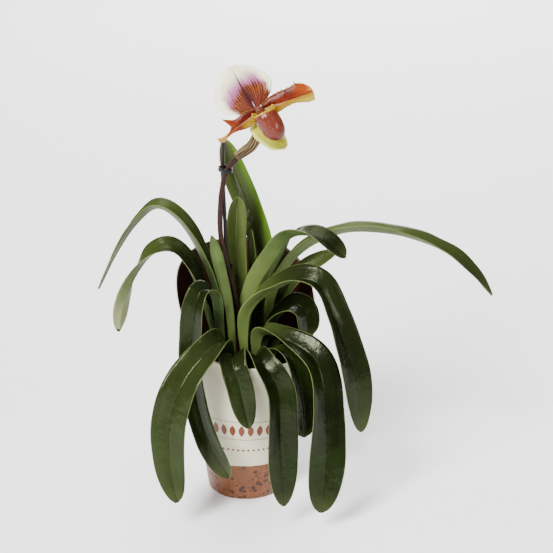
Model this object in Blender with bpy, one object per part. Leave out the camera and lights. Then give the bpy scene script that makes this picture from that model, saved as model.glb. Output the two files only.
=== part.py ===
"""Potted slipper orchid: a plant in a grow pot that stands in a printed card sleeve.

Origin on the floor under the middle of the sleeve, +X right, +Y back, +Z up.
The driving dimensions below are in millimetres; Blender works in metres.
"""

import math
from collections import namedtuple

import bmesh
import bpy
from mathutils import Matrix, Vector
from mathutils.noise import noise

MM = 0.001
GAP = 0.3                       # clearance kept between neighbouring solids

# Sleeve: a tapered card cup whose axis leans a little to the right
SLEEVE_BASE_RADIUS = 38.2
SLEEVE_FLARE = 0.162            # radius gained for each millimetre of height
SLEEVE_LEAN = 0.025             # shift to +X for each millimetre of height
SLEEVE_WALL = 0.9
SLEEVE_FLOOR = 1.2
SLEEVE_FOOT_ROUND = 3.5
SLEEVE_FOOT_ROWS = (0.0, 0.9, 2.1, SLEEVE_FOOT_ROUND)
SLEEVE_INNER_ROUND = 1.6        # the inside corner of the foot is cut off this far
SLEEVE_RIM_MIDDLE = 205.0       # the rim swings this far up and down round the cup
SLEEVE_RIM_SWING = 48.0
SLEEVE_RIM_FRONT = -72.0        # azimuth of the rim's lowest point, degrees
SLEEVE_RIM_SHARPNESS = 1.48
SLEEVE_RIM_SHIFT = -0.1
SLEEVE_SIDES = 46
SLEEVE_ROWS = 5

# Grow pot, standing on the sleeve's floor
POT_HEIGHT = 116.0
POT_BASE_RADIUS = 34.0
POT_TOP_RADIUS = 50.0
POT_WALL = 1.0
POT_LIP = 2.0
POT_LIP_HEIGHT = 8.0
POT_SIDES = 40
DRAIN_HOLES = 6
DRAIN_RADIUS = 4.0
DRAIN_RING = 20.0

# Bark mix in the pot
BARK_TOP = 110.0
BARK_LUMP = 2.6
BARK_SWELL = 2.0                # the middle of the bed is this much higher than its edge
BARK_SIDES = 36
BARK_RINGS = 8
BARK_LUMP_SIZE = 11.0
HOLE_TOP = 130.0                # holes for the crown and the stake are open up to here

# Root crown: a low oval body in a plain hole in the bark; the leaves and the stalk stand on it
CROWN_CENTRE = (6.0, 3.0)
CROWN_HALF_LENGTH = 34.0
CROWN_HALF_WIDTH = 25.0
CROWN_TURN = 40.0               # azimuth of its long axis, degrees
CROWN_BOTTOM = 104.0
CROWN_TOP = 115.0
CROWN_ROUND = 2.5
CROWN_SIDES = 32

# Leaves: strap blades on smooth curves through a few points (x, y, z) along the midrib.
# tip is where the blade starts to narrow, as a share of its length;
# face is the azimuth that the underside looks to at the base, in degrees; fold is how far
# each half stands up from the midrib, and roll how far the blade turns about it, at the
# base, the middle and the tip; wave is the height of the waved margin.
LEAF_THICKNESS = 1.1
LEAF_ACROSS = 4
LEAF_STATION = 13.0             # length of blade for each row of faces
LEAF_BASE_WIDTH = 0.34          # as a share of the full width
LEAF_FULL_WIDTH_AT = 0.55       # share of the length where the blade reaches its full width
LEAF_TIP_WIDTH = 0.09
LEAF_TIP_BLUNT = 3.0            # the tip is round: width goes as (1 - past ** blunt) ** round
LEAF_TIP_ROUND = 0.52
LEAF_SECTION = 1.25             # a leaf's halves curve up as this power of the way out
LEAF_WAVE_LENGTH = 15.0         # radians of wave along a leaf, and how far it lags across
LEAF_WAVE_LAG = 1.7
LEAF_WAVE_FROM = 3.0            # waves are at full height from one part in this of the length
Leaf = namedtuple("Leaf", "name width tip face fold roll wave points")
LEAVES = (
    Leaf("leaf_left_long", 27, 0.58, 170, (60, 38, 12), (0, 0, 0), 0,
         ((-16, 5, 115.4), (-26, 10, 200), (-48, 12, 260), (-66, 13, 289), (-86, 16, 300),
          (-107, 20, 282), (-130, 24, 247), (-149, 27, 209))),
    Leaf("leaf_left_twisted", 29, 0.6, 190, (66, 28, 12), (0, -22, 62), 0,
         ((-20, -1, 115.4), (-36, -1, 186), (-48, -5, 228), (-59, -10, 254), (-73, -14, 268),
          (-89, -16, 264), (-106, -17, 243), (-119, -18, 213), (-125.5, -18, 181))),
    Leaf("leaf_left_hanging", 28, 0.86, 214, (66, 25, 8), (0, 0, 0), 0,
         ((-20, -8, 115.4), (-27, -16, 181), (-33, -26, 226), (-41, -35, 232), (-47, -41, 217),
          (-50, -43, 183), (-50, -47, 151), (-44, -58, 112), (-33, -68, 79), (-15, -75, 46))),
    Leaf("leaf_front_left", 37, 0.6, 238, (66, 20, 8), (0, -12, -32), 2.4,
         ((-16, -16, 115.4), (-18, -30, 164), (-24, -47, 183), (-36, -66, 179), (-57, -80, 156),
          (-71, -89, 117), (-72.5, -97, 75), (-65.5, -103, 34))),
    Leaf("leaf_front_short", 31, 0.5, 264, (66, 34, 15), (0, 0, 0), 0.6,
         ((-5, -20, 115.4), (-9, -39, 160), (-11, -54, 170), (-10, -66, 164), (-4, -73, 146),
          (1, -78, 124), (5.5, -82, 105))),
    Leaf("leaf_front_right", 35, 0.58, 280, (66, 30, 10), (0, 20, 25), 0.5,
         ((4, -20, 115.4), (10, -39, 160), (15, -58, 171), (21, -67, 165), (28, -73, 157),
          (34, -76, 143), (36, -81, 126), (37, -88, 89), (40, -100, 28))),
    Leaf("leaf_right_broad", 38, 0.75, 296, (66, 26, 10), (0, 30, 60), 0.8,
         ((16, -11, 115.4), (16, -18, 168), (21, -26, 182), (33, -36, 184), (48, -46, 180),
          (61, -54, 175), (72, -62, 166), (78, -70, 149), (81, -82, 114), (81.5, -94, 71),
          (76.5, -106, 24))),
    Leaf("leaf_right_inner", 26, 0.8, 300, (66, 28, 15), (0, 15, 40), 0,
         ((15, -18, 115.4), (22, -25, 148), (29, -32, 163), (38, -40, 168), (46, -48, 165),
          (52, -55, 154), (56, -60, 136), (59, -64, 112), (60, -68, 88))),
    Leaf("leaf_right_tall_arch", 35, 0.64, 300, (62, 32, 12), (0, 56, 85), 0.6,
         ((6, -11, 115.4), (3, -13, 173), (6, -15, 199), (18, -19, 218), (36, -25, 232),
          (55, -31, 242.3), (73, -38, 239.5), (87, -46, 214), (99, -53, 184), (111, -61, 146),
          (117, -68, 94))),
    Leaf("leaf_right_light_arch", 31, 0.8, 335, (60, 36, 22), (0, -50, 25), 0,
         ((8, 0, 115.4), (6, 1, 194), (14, -1, 222), (31, -6, 254), (48, -14, 281), (66, -21, 285),
          (85, -27, 277), (100, -31, 265))),
    Leaf("leaf_right_longest", 31, 0.7, 345, (64, 33, 15), (0, -2, 30), 0,
         ((26, 16, 115.4), (27, 18, 169), (31, 16, 207), (42, 12, 235), (59, 9, 257),
          (80, 8, 270.5), (111, 9, 278), (156, 11, 273), (198, 15, 256), (230, 18, 230.5),
          (252, 22, 203.5))),
    Leaf("leaf_right_back", 22, 0.66, 35, (64, 35, 15), (0, 0, 0), 0,
         ((24, 27, 115.4), (29, 29, 161), (36, 27, 189), (46, 25, 211), (61, 24, 230),
          (79, 26, 242), (94, 28, 249))),
    Leaf("leaf_right_glossy", 30, 0.76, 300, (64, 30, 15), (0, 50, 75), 0,
         ((20, 5, 115.4), (23, 3, 160), (29, 0, 180), (39, -4, 196), (50, -9, 205), (59, -12, 202),
          (63, -15, 191), (64, -18, 175))),
    Leaf("leaf_right_under", 20, 0.7, 315, (64, 34, 15), (0, 0, 0), 0,
         ((28, 4, 115.4), (30, 1, 147), (35, -1, 161), (42, -4, 170), (52, -8, 170))),
    Leaf("leaf_narrow_upright", 13, 0.6, 55, (58, 40, 30), (0, 0, 0), 0,
         ((4, 13.5, 115.4), (10.5, 21, 192), (10.5, 25, 234), (7.5, 25, 275))),
    Leaf("leaf_behind_stalk", 22, 0.8, 97, (60, 35, 20), (0, 0, 0), 0,
         ((-4, 12, 115.4), (-5, 18, 194), (-7, 19, 231), (-8, 18, 268), (-6, 14, 313))),
    Leaf("leaf_back_tall", 29, 0.7, 90, (64, 35, 15), (0, 0, 0), 0,
         ((10, 28, 115.4), (14, 32, 184), (19, 36, 226), (16, 38, 260), (3, 42, 298),
          (-10, 48, 329), (-20, 56, 359))),
    Leaf("leaf_front_upright", 16, 0.66, 245, (60, 40, 18), (0, 0, 0), 0,
         ((-10, -12, 115.4), (-15, -14, 179), (-19, -14, 212), (-25, -12, 247), (-31, -11, 281))),
)

# Flower stalk and stake
SCAPE_RADIUS = 2.6
SCAPE_POINTS = (
    (-3, -2, 115.4), (-4, -2, 150), (-7, -1, 196), (-11, -1, 223), (-16, -2, 243), (-21, -3, 265),
    (-23, -4, 289), (-22, -4, 315), (-20, -5, 330), (-17, -6, 343), (-12, -8, 353), (-6, -11, 360),
)
STAKE_RADIUS = 1.95
STAKE_POINTS = ((-10, 12, 40), (-10, 12, 80), (-10, 12, 116), (-11, 9, 160), (-12, 6, 205),
                (-15, 4, 241), (-17.3, 3, 262), (-18.6, 1, 300), (-20, 0, 347), (-19, -1, 374))
TUBE_SIDES = 10
TUBE_STEP = 10.0                # length of stalk and stake for each ring of faces
OVARY_STEP = 4.0

# Clips: flat loops round the stalk and the stake (height above the floor, inner radius, band, wall)
Clip = namedtuple("Clip", "name height inner band wall")
CLIPS = (
    Clip("clip_upper", 347.0, 4.4, 4.2, 1.0),
    Clip("clip_lower", 243.0, 3.4, 2.6, 0.8),
)
CLIP_SIDES = 14

# Flower, in its own frame: x along the petals, y up to the dorsal sepal, z to the front
FLOWER_CENTRE = (17.0, -30.0, 413.7)
FLOWER_PITCH = 16.0             # the flower looks up this far, degrees
FLOWER_ROLL = 25.0              # its petals rise to the right, degrees
PETAL_THICKNESS = 0.8
COLUMN_RADIUS = 3.2
COLUMN_BACK = -4.0
COLUMN_FRONT = 3.0
COLUMN_SIDES = 14
SHIELD_RADIUS = 4.6
SHIELD_DEPTH = 2.4
SHIELD_EDGE = 0.4               # thickness of the shield's rim, and its front's radius as a share
SHIELD_FRONT = 0.8
SHIELD_RAISED = 0.4

# Pouch: rings from its opening down; heights are in the flower's frame
POUCH_TOP = -3.4
POUCH_TILT = 1.2                # the opening's edge is higher at the front by this much
POUCH_BOTTOM = -32.3
POUCH_MIDDLE = (3.0, 14.0)      # x and z of its middle at the opening
POUCH_DRIFT = (2.6, 1.0)        # how far x and z have moved at the bottom
POUCH_HALF_WIDTH = 11.6
POUCH_HALF_DEPTH = 12.0
POUCH_FULLNESS = 4.0            # a larger number keeps it wide further down
POUCH_NECK = 0.93               # width at the opening, as a share of the full width
POUCH_NECK_DEPTH = 0.2          # share of the way down to where it reaches the full width
POUCH_EARS = 5.0                # the opening's edge rises this far beside the column
POUCH_FLARE = 1.6
POUCH_EAR_DEPTH = 0.17          # share of the way down to the foot of the ears
POUCH_EAR_AT = (-38.0, 212.0)   # where round the opening, in degrees; the front is at 90
POUCH_EAR_SPREAD = 26.0
POUCH_SIDES = 24
POUCH_WALL = 0.8
POUCH_ROWS = (0.0, 0.06, 0.16, 0.3, 0.45, 0.6, 0.73, 0.83, 0.9, 0.955, 0.985)

# Sepals and petals: curves along the middle and along each edge, point for point alike;
# rows is the number of rows of faces between two points, and bulge how far each half
# stands forward of the straight line from the middle to the edge.
Petal = namedtuple("Petal", "name rows across bulge middle one_edge other_edge")
PETALS = (
    Petal("dorsal_sepal", 2, 10, 1.2,
          ((-2.9, 3.8, -3), (-3.7, 8.7, -4), (-4.8, 16.4, -4.8), (-5.9, 24.1, -5.2), (-6.6, 31.7, -5),
           (-7.1, 39, -4.4), (-7.2, 44.7, -3.6), (-7.1, 49.3, -2.6)),
          ((0.7, 4.3, -3), (8.9, 6.7, -4), (17.3, 13.1, -5.5), (21.5, 20.7, -7), (20, 28.7, -7.5),
           (14.6, 37.4, -6.5), (6.3, 44.5, -5), (-4.8, 49.1, -2.8)),
          ((-5.2, 2.6, -3.2), (-19.7, 5, -4.5), (-29.8, 10.2, -6.5), (-34.6, 18.3, -8), (-34.1, 27.9, -8.5),
           (-29.1, 37.5, -7.5), (-20.7, 46.5, -5.5), (-8.9, 49.7, -3))),
    Petal("synsepal", 2, 8, -1.0,
          ((0, -3.8, -3.2), (-2.9, -10.6, -4.5), (-3.8, -19.2, -4.5), (-1.9, -27.9, -3), (2.4, -35.6, 0),
           (8.7, -40.9, 3)),
          ((-2.9, -4.4, -3.2), (-16, -11.4, -3.5), (-15.8, -18.6, -3), (-12.1, -27.9, -1.5),
           (-6.3, -37.4, 1.5), (6.3, -42.7, 3.5)),
          ((2.9, -3.8, -3.2), (7.7, -8.7, -3.5), (9.6, -17.3, -3), (11.1, -26, -1), (11.7, -32.7, 1.5),
           (10.4, -40.2, 3.2))),
    Petal("petal_right", 2, 6, 1.3,
          ((3.6, 1, 0.3), (11.5, 0.6, 1.5), (19.2, -0.6, 2.2), (26, -1.7, 2.5), (32.7, -2.8, 2.2),
           (39.3, -3.4, 1.6), (46, -4.3, 0.4), (53.6, -4.6, -1.4)),
          ((3.1, 4.4, 0.3), (11.6, 8.1, 0.6), (18.3, 8.9, 0.8), (25.5, 9.2, 1.2), (33.2, 8.4, 1.4),
           (40.2, 9.6, 1), (47.2, 6.6, -0.2), (52.2, 0.8, -1.6)),
          ((3.6, -5, 0.3), (10.1, -8, 1), (16.4, -8.4, 1.5), (23.6, -7.4, 1.6),
           (30.8, -7.1, 1.4), (38.4, -9, 0.8), (44.8, -11.6, -0.2), (51.8, -12.4, -1.6))),
    Petal("petal_left", 2, 6, 1.1,
          ((-3.6, 0.4, 0.3), (-10.6, -1, 1.5), (-16.8, -2.4, 2.4), (-22.1, -3.5, 3),
           (-26, -4, 3.2), (-28.4, -4.7, 3.2), (-31.2, -5.8, 3), (-36.4, -7.7, 2.8),
           (-42.3, -9.8, 3.2), (-47.1, -8.9, 4.4)),
          ((-3.1, 3.8, 0.3), (-10.3, 5, 1.5), (-16.5, 5.2, 2.2), (-21.6, 3.2, 2.6),
           (-26.9, 3.1, 3.2), (-35.8, 7.7, 5), (-30.2, 0, 4), (-35, -6, 3.2),
           (-41.8, -7.6, 3.6), (-47.7, -6.7, 4.6)),
          ((-3.6, -4.8, 0.3), (-8.7, -7.7, 1), (-15.4, -9.9, 1.5), (-21.6, -9.4, 2),
           (-25.5, -8.6, 2.4), (-28.9, -8.3, 2.6), (-32.2, -8.3, 2.6), (-37.7, -9.8, 2.4),
           (-42.8, -12.1, 3), (-46.8, -11, 4.2))),
)

# Ovary behind the flower, and the small sheath that lies on it
OVARY_POINTS = ((-5.7, -11.2, 360.4), (2, -13, 367), (9.6, -15, 374.5), (15.4, -17, 387),
                (17, -19.2, 402.5), (17, -21.9, 411.4), (17, -25.8, 412.5))
OVARY_RADIUS = 2.4
OVARY_SWELL = 2.3               # its middle is thicker by this much
OVARY_PEAK = 0.8
OVARY_SIDES = 12
BRACT_FROM = 0.02               # where it starts and ends, as shares of the ovary's length
BRACT_TO = 0.6
BRACT_FACING = 150.0            # where its middle is round the ovary, degrees
BRACT_HALF_TURN = 85.0
BRACT_FLARE = 2.6               # the lower end stands off the ovary by this much
BRACT_NARROW = (0.12, 0.92)     # where along half a sine wave its two ends are, for its width
BRACT_FULLNESS = 0.7
BRACT_ROWS = 8
BRACT_ACROSS = 6


def clear_scene():
    for obj in list(bpy.data.objects):
        bpy.data.objects.remove(obj, do_unlink=True)


def make_material(name, colour, roughness):
    material = bpy.data.materials.new(name)
    material.use_nodes = True
    shader = material.node_tree.nodes["Principled BSDF"]
    shader.inputs["Base Color"].default_value = (*colour, 1.0)
    shader.inputs["Roughness"].default_value = roughness
    return material


def add_object(name, mesh_data, material, smooth=True):
    """Turns a bmesh into a named object with its faces pointing out."""
    bmesh.ops.recalc_face_normals(mesh_data, faces=mesh_data.faces)
    mesh = bpy.data.meshes.new(name)
    mesh_data.to_mesh(mesh)
    mesh_data.free()
    mesh.materials.append(material)
    if smooth:
        mesh.shade_smooth()
        mesh.set_sharp_from_angle(angle=math.radians(40))
    obj = bpy.data.objects.new(name, mesh)
    bpy.context.collection.objects.link(obj)
    return obj


def smoothstep(value):
    value = min(max(value, 0.0), 1.0)
    return value * value * (3.0 - 2.0 * value)


def three_way(values, t):
    """Blends smoothly from the first value through the second to the third."""
    first, middle, last = values
    if t < 0.5:
        return first + (middle - first) * smoothstep(2.0 * t)
    return middle + (last - middle) * smoothstep(2.0 * t - 1.0)


def curve_through(points, spans=24):
    """Points on a centripetal Catmull-Rom curve through the given ones, evenly spaced."""
    given = [Vector(p) for p in points]
    ends = [2 * given[0] - given[1]] + given + [2 * given[-1] - given[-2]]
    fine = []
    for a, b, c, d in zip(ends, ends[1:], ends[2:], ends[3:]):
        t1 = (b - a).length ** 0.5
        t2 = t1 + (c - b).length ** 0.5
        t3 = t2 + (d - c).length ** 0.5
        for step in range(spans):
            t = t1 + (t2 - t1) * step / spans
            ab = a.lerp(b, t / t1)
            bc = b.lerp(c, (t - t1) / (t2 - t1))
            cd = c.lerp(d, (t - t2) / (t3 - t2))
            abc = ab.lerp(bc, t / t2)
            bcd = bc.lerp(cd, (t - t1) / (t3 - t1))
            fine.append(abc.lerp(bcd, (t - t1) / (t2 - t1)))
    return fine + [given[-1]]


def resample(fine, fractions):
    """Points of a polyline at the given fractions of its length."""
    lengths = [0.0]
    for a, b in zip(fine, fine[1:]):
        lengths.append(lengths[-1] + (b - a).length)
    picked = []
    index = 0
    for fraction in fractions:
        goal = fraction * lengths[-1]
        while index < len(fine) - 2 and lengths[index + 1] < goal:
            index += 1
        step = (goal - lengths[index]) / (lengths[index + 1] - lengths[index])
        picked.append(fine[index].lerp(fine[index + 1], step))
    return picked


def frames_along(points, side):
    """Tangent and side direction at each point, turned as little as possible on the way."""
    tangents = []
    for i in range(len(points)):
        before = points[max(i - 1, 0)]
        after = points[min(i + 1, len(points) - 1)]
        tangents.append((after - before).normalized())
    side = (side - side.dot(tangents[0]) * tangents[0]).normalized()
    frames = [(tangents[0], side)]
    for i in range(1, len(points)):
        turn = tangents[i - 1].rotation_difference(tangents[i])
        side = (turn @ side)
        side = (side - side.dot(tangents[i]) * tangents[i]).normalized()
        frames.append((tangents[i], side))
    return frames


def blade_share(t, tip_start):
    """Width of a strap leaf at a fraction of its length, as a share of the full width."""
    share = LEAF_BASE_WIDTH + (1.0 - LEAF_BASE_WIDTH) * smoothstep(t / LEAF_FULL_WIDTH_AT)
    if t > tip_start:
        past = (t - tip_start) / (1.0 - tip_start)
        share *= max(1.0 - past ** LEAF_TIP_BLUNT, 0.0) ** LEAF_TIP_ROUND
    return max(share, LEAF_TIP_WIDTH)


def grid_object(name, rows, across, place, thickness, material):
    """A blade: a grid placed by place(u, t), split into triangles and given its thickness."""
    mesh_data = bmesh.new()
    bmesh.ops.create_grid(mesh_data, x_segments=across, y_segments=rows, size=1.0)
    for vert in mesh_data.verts:
        vert.co = place(vert.co.x, 0.5 * (vert.co.y + 1.0)) * MM
    bmesh.ops.triangulate(mesh_data, faces=mesh_data.faces)
    obj = add_object(name, mesh_data, material)
    wall = obj.modifiers.new("thickness", "SOLIDIFY")
    wall.thickness = thickness * MM
    wall.offset = 0.0
    return obj


def blade_placer(points, side, rows, section, ease_power=1.15):
    """The function that puts a grid point (u across, t along) on a blade round a curve.

    section(u, along) gives the sideways distance and the lift from the curve.
    """
    ease = [1.0 - (1.0 - i / rows) ** ease_power for i in range(rows + 1)]
    spine = resample(curve_through(points), ease)
    frames = frames_along(spine, Vector(side))

    def place(u, t):
        row = min(int(round(t * rows)), rows)
        tangent, across = frames[row]
        out, lift, roll = section(u, ease[row])
        across = Matrix.Rotation(math.radians(roll), 3, tangent) @ across
        upper = tangent.cross(across)
        return spine[row] + across * out + upper * lift

    return place


def leaf_section(leaf):
    """Cross-section of a strap leaf: two halves that stand up from the midrib."""
    def section(u, along):
        half = 0.5 * leaf.width * blade_share(along, leaf.tip)
        fold = math.radians(three_way(leaf.fold, along))
        turn = along * LEAF_WAVE_LENGTH + u * LEAF_WAVE_LAG
        wave = leaf.wave * smoothstep(along * LEAF_WAVE_FROM) * u * u * math.sin(turn)
        lift = abs(u) ** LEAF_SECTION * half * math.sin(fold)
        return u * half * math.cos(fold), lift + wave, three_way(leaf.roll, along)
    return section


def build_leaves(material):
    for leaf in LEAVES:
        length = sum((b - a).length for a, b in zip(map(Vector, leaf.points),
                                                    map(Vector, leaf.points[1:])))
        rows = max(9, round(length / LEAF_STATION))
        face = math.radians(leaf.face)
        side = (-math.sin(face), math.cos(face), 0.0)
        place = blade_placer(leaf.points, side, rows, leaf_section(leaf))
        grid_object(leaf.name, rows, LEAF_ACROSS, place, LEAF_THICKNESS, material)


def tube_object(name, points, radius_at, sides, step, material):
    """A round solid bar along a smooth curve, with closed ends."""
    fine = curve_through(points)
    count = max(4, round(sum((b - a).length for a, b in zip(fine, fine[1:])) / step))
    path = resample(fine, [i / count for i in range(count + 1)])
    frames = frames_along(path, Vector((1.0, 0.0, 0.0)))
    mesh_data = bmesh.new()
    ring = bmesh.ops.create_circle(mesh_data, cap_ends=False, segments=sides, radius=1.0)["verts"]
    rings = []
    for index, (point, (tangent, side)) in enumerate(zip(path, frames)):
        up = tangent.cross(side)
        radius = radius_at(index / count)
        if index == 0:
            loop = ring
        else:
            made = bmesh.ops.extrude_edge_only(mesh_data, edges=edges)["geom"]
            loop = [v for v in made if isinstance(v, bmesh.types.BMVert)]
        edges = [e for e in mesh_data.edges if e.verts[0] in loop and e.verts[1] in loop]
        for number, vert in enumerate(loop):
            turn = math.tau * number / sides
            vert.co = (point + (side * math.cos(turn) + up * math.sin(turn)) * radius) * MM
        rings.append(loop)
    for loop in (rings[0], rings[-1]):
        mesh_data.faces.new(loop)
    return add_object(name, mesh_data, material)


def turned_object(name, profile, sides, material, centre=(0.0, 0.0)):
    """A solid of revolution from a closed (radius, height) profile that starts and ends at 0."""
    mesh_data = bmesh.new()
    verts = [mesh_data.verts.new((r * MM, 0.0, z * MM)) for r, z in profile]
    edges = [mesh_data.edges.new(pair) for pair in zip(verts, verts[1:])]
    bmesh.ops.spin(mesh_data, geom=verts + edges, cent=(0, 0, 0), axis=(0, 0, 1),
                   angle=math.tau, steps=sides, use_merge=True)
    bmesh.ops.remove_doubles(mesh_data, verts=mesh_data.verts, dist=0.00001)
    bmesh.ops.translate(mesh_data, verts=mesh_data.verts,
                        vec=(centre[0] * MM, centre[1] * MM, 0.0))
    return add_object(name, mesh_data, material)


def rim_height(azimuth):
    """Height of the sleeve's top edge at an azimuth in radians."""
    front = math.cos(azimuth - math.radians(SLEEVE_RIM_FRONT))
    return SLEEVE_RIM_MIDDLE - SLEEVE_RIM_SWING * math.tanh(
        SLEEVE_RIM_SHARPNESS * (front - SLEEVE_RIM_SHIFT))


def sleeve_radius(height):
    """Outer radius of the sleeve, with its rounded foot."""
    radius = SLEEVE_BASE_RADIUS + SLEEVE_FLARE * height
    if height < SLEEVE_FOOT_ROUND:
        short = 1.0 - height / SLEEVE_FOOT_ROUND
        radius -= SLEEVE_FOOT_ROUND * (1.0 - math.sqrt(1.0 - short * short))
    return radius


def build_sleeve(material):
    """Card cup: a floor disc and a leaning, flaring wall whose rim is low at the front."""
    rows = [i / SLEEVE_ROWS for i in range(1, SLEEVE_ROWS + 1)]
    mesh_data = bmesh.new()

    def ring_point(number, height, inset):
        azimuth = math.tau * number / SLEEVE_SIDES
        radius = sleeve_radius(height) - inset
        return Vector((SLEEVE_LEAN * height + radius * math.cos(azimuth),
                       radius * math.sin(azimuth), height)) * MM

    def rim_at(number):
        return rim_height(math.tau * number / SLEEVE_SIDES)

    def heights(number, low):
        return [low + (rim_at(number) - low) * share for share in rows]

    columns = []
    for number in range(SLEEVE_SIDES):
        outer = [ring_point(number, z, 0.0) for z in SLEEVE_FOOT_ROWS]
        outer += [ring_point(number, z, 0.0) for z in heights(number, SLEEVE_FOOT_ROUND)]
        inner = [ring_point(number, z, SLEEVE_WALL)
                 for z in reversed(heights(number, SLEEVE_FOOT_ROUND))]
        inner.append(ring_point(number, SLEEVE_FOOT_ROUND, SLEEVE_WALL))
        low = ring_point(number, SLEEVE_FOOT_ROUND, SLEEVE_WALL + SLEEVE_INNER_ROUND)
        low.z = SLEEVE_FLOOR * MM
        inner.append(low)
        columns.append([mesh_data.verts.new(p) for p in outer + inner])
    for left, right in zip(columns, columns[1:] + columns[:1]):
        for a, b, c, d in zip(left, right, right[1:], left[1:]):
            mesh_data.faces.new((a, b, c, d))
    bottom = mesh_data.faces.new([column[0] for column in columns])
    top = mesh_data.faces.new([column[-1] for column in columns])
    bmesh.ops.poke(mesh_data, faces=[bottom, top])
    return add_object("sleeve", mesh_data, material)


def build_grow_pot(material):
    """Thin tapered pot with a rolled lip and drain holes in its floor."""
    base = SLEEVE_FLOOR + GAP
    lip = POT_TOP_RADIUS + POT_LIP
    profile = [(0.0, base), (POT_BASE_RADIUS, base),
               (POT_TOP_RADIUS, base + POT_HEIGHT - POT_LIP_HEIGHT),
               (lip, base + POT_HEIGHT - POT_LIP_HEIGHT), (lip, base + POT_HEIGHT),
               (POT_TOP_RADIUS - POT_WALL, base + POT_HEIGHT),
               (POT_BASE_RADIUS - POT_WALL, base + POT_WALL), (0.0, base + POT_WALL)]
    pot = turned_object("grow_pot", profile, POT_SIDES, material)
    for number in range(DRAIN_HOLES):
        turn = math.tau * number / DRAIN_HOLES
        mesh_data = bmesh.new()
        bmesh.ops.create_cone(mesh_data, cap_ends=True, segments=12, radius1=DRAIN_RADIUS * MM,
                              radius2=DRAIN_RADIUS * MM, depth=10 * MM)
        bmesh.ops.translate(mesh_data, verts=mesh_data.verts,
                            vec=(DRAIN_RING * MM * math.cos(turn),
                                 DRAIN_RING * MM * math.sin(turn), base * MM))
        cutter = add_object(f"drain_cutter_{number}", mesh_data, material)
        cutter.hide_render = True
        cutter.display_type = "WIRE"
        cut = pot.modifiers.new(f"drain_{number}", "BOOLEAN")
        cut.object = cutter
        cut.operation = "DIFFERENCE"
    return pot


def bark_radius(height):
    """Outer radius of the bark mix, one gap inside the pot's wall."""
    base = SLEEVE_FLOOR + GAP
    share = (height - base) / POT_HEIGHT
    wall = POT_BASE_RADIUS + (POT_TOP_RADIUS - POT_BASE_RADIUS) * share
    return wall - POT_WALL - 2 * GAP


def build_bark_mix(material):
    """Bark that fills the pot, lumpy on top, with a plain hole for each stem in it."""
    floor = SLEEVE_FLOOR + 2 * GAP + POT_WALL
    profile = [(0.0, floor), (bark_radius(floor), floor)]
    edge = bark_radius(BARK_TOP)
    profile += [(edge * (BARK_RINGS - i) / BARK_RINGS, BARK_TOP) for i in range(BARK_RINGS + 1)]
    bark = turned_object("bark_mix", profile, BARK_SIDES, material)
    for vert in bark.data.vertices:
        x, y = vert.co.x / MM, vert.co.y / MM
        inside = 1.0 - math.hypot(x, y) / edge
        if vert.co.z > (BARK_TOP - 1.0) * MM and inside > 0.02:
            lump = noise(Vector((x, y, 7.0)) / BARK_LUMP_SIZE)
            vert.co.z += (BARK_LUMP * lump + BARK_SWELL * smoothstep(2.0 * inside)) * MM
    cut_hole(bark, "crown_hole", CROWN_CENTRE, CROWN_HALF_LENGTH + GAP, CROWN_HALF_WIDTH + GAP,
             CROWN_TURN, CROWN_BOTTOM - GAP, CROWN_SIDES)
    cut_stake_hole(bark)
    return bark


def cut_hole(body, name, centre, half_length, half_width, turn, bottom, sides):
    """Cuts a plain oval hole with a flat bottom, open at the top, into a body."""
    depth = HOLE_TOP - bottom
    mesh_data = bmesh.new()
    bmesh.ops.create_cone(mesh_data, cap_ends=True, segments=sides, depth=depth * MM,
                          radius1=MM, radius2=MM)
    shape = (Matrix.Translation((centre[0] * MM, centre[1] * MM, (bottom + 0.5 * depth) * MM))
             @ Matrix.Rotation(math.radians(turn), 4, "Z")
             @ Matrix.Diagonal((half_length, half_width, 1.0, 1.0)))
    bmesh.ops.transform(mesh_data, matrix=shape, verts=mesh_data.verts)
    cutter = add_object(f"{name}_cutter_{body.name}", mesh_data, body.data.materials[0])
    cutter.hide_render = True
    cutter.display_type = "WIRE"
    cut = body.modifiers.new(name, "BOOLEAN")
    cut.object = cutter
    cut.operation = "DIFFERENCE"


def cut_stake_hole(body):
    x, y, bottom = STAKE_POINTS[0]
    radius = STAKE_RADIUS + 1.5 * GAP
    cut_hole(body, "stake_hole", (x, y), radius, radius, 0.0, bottom - GAP, 16)


def build_crown(material):
    """Low oval root crown with rounded shoulders; the stake passes through it."""
    profile = [(0.0, CROWN_BOTTOM), (1.0, CROWN_BOTTOM), (1.0, CROWN_TOP - CROWN_ROUND)]
    shoulder = CROWN_ROUND / CROWN_HALF_WIDTH
    for degrees in (30, 60, 90):
        turn = math.radians(degrees)
        profile.append((1.0 - shoulder * (1.0 - math.cos(turn)),
                        CROWN_TOP - CROWN_ROUND * (1.0 - math.sin(turn))))
    profile.append((0.0, CROWN_TOP))
    crown = turned_object("crown", profile, CROWN_SIDES, material)
    shape = (Matrix.Translation((CROWN_CENTRE[0] * MM, CROWN_CENTRE[1] * MM, 0.0))
             @ Matrix.Rotation(math.radians(CROWN_TURN), 4, "Z")
             @ Matrix.Diagonal((CROWN_HALF_LENGTH, CROWN_HALF_WIDTH, 1.0, 1.0)))
    crown.data.transform(shape)
    cut_stake_hole(crown)


def nearest_on(points, height):
    """Point of a curve at a height, and the curve's direction there."""
    fine = curve_through(points)
    index = min(range(1, len(fine) - 1), key=lambda i: abs(fine[i].z - height))
    return fine[index], (fine[index + 1] - fine[index - 1]).normalized()


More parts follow.
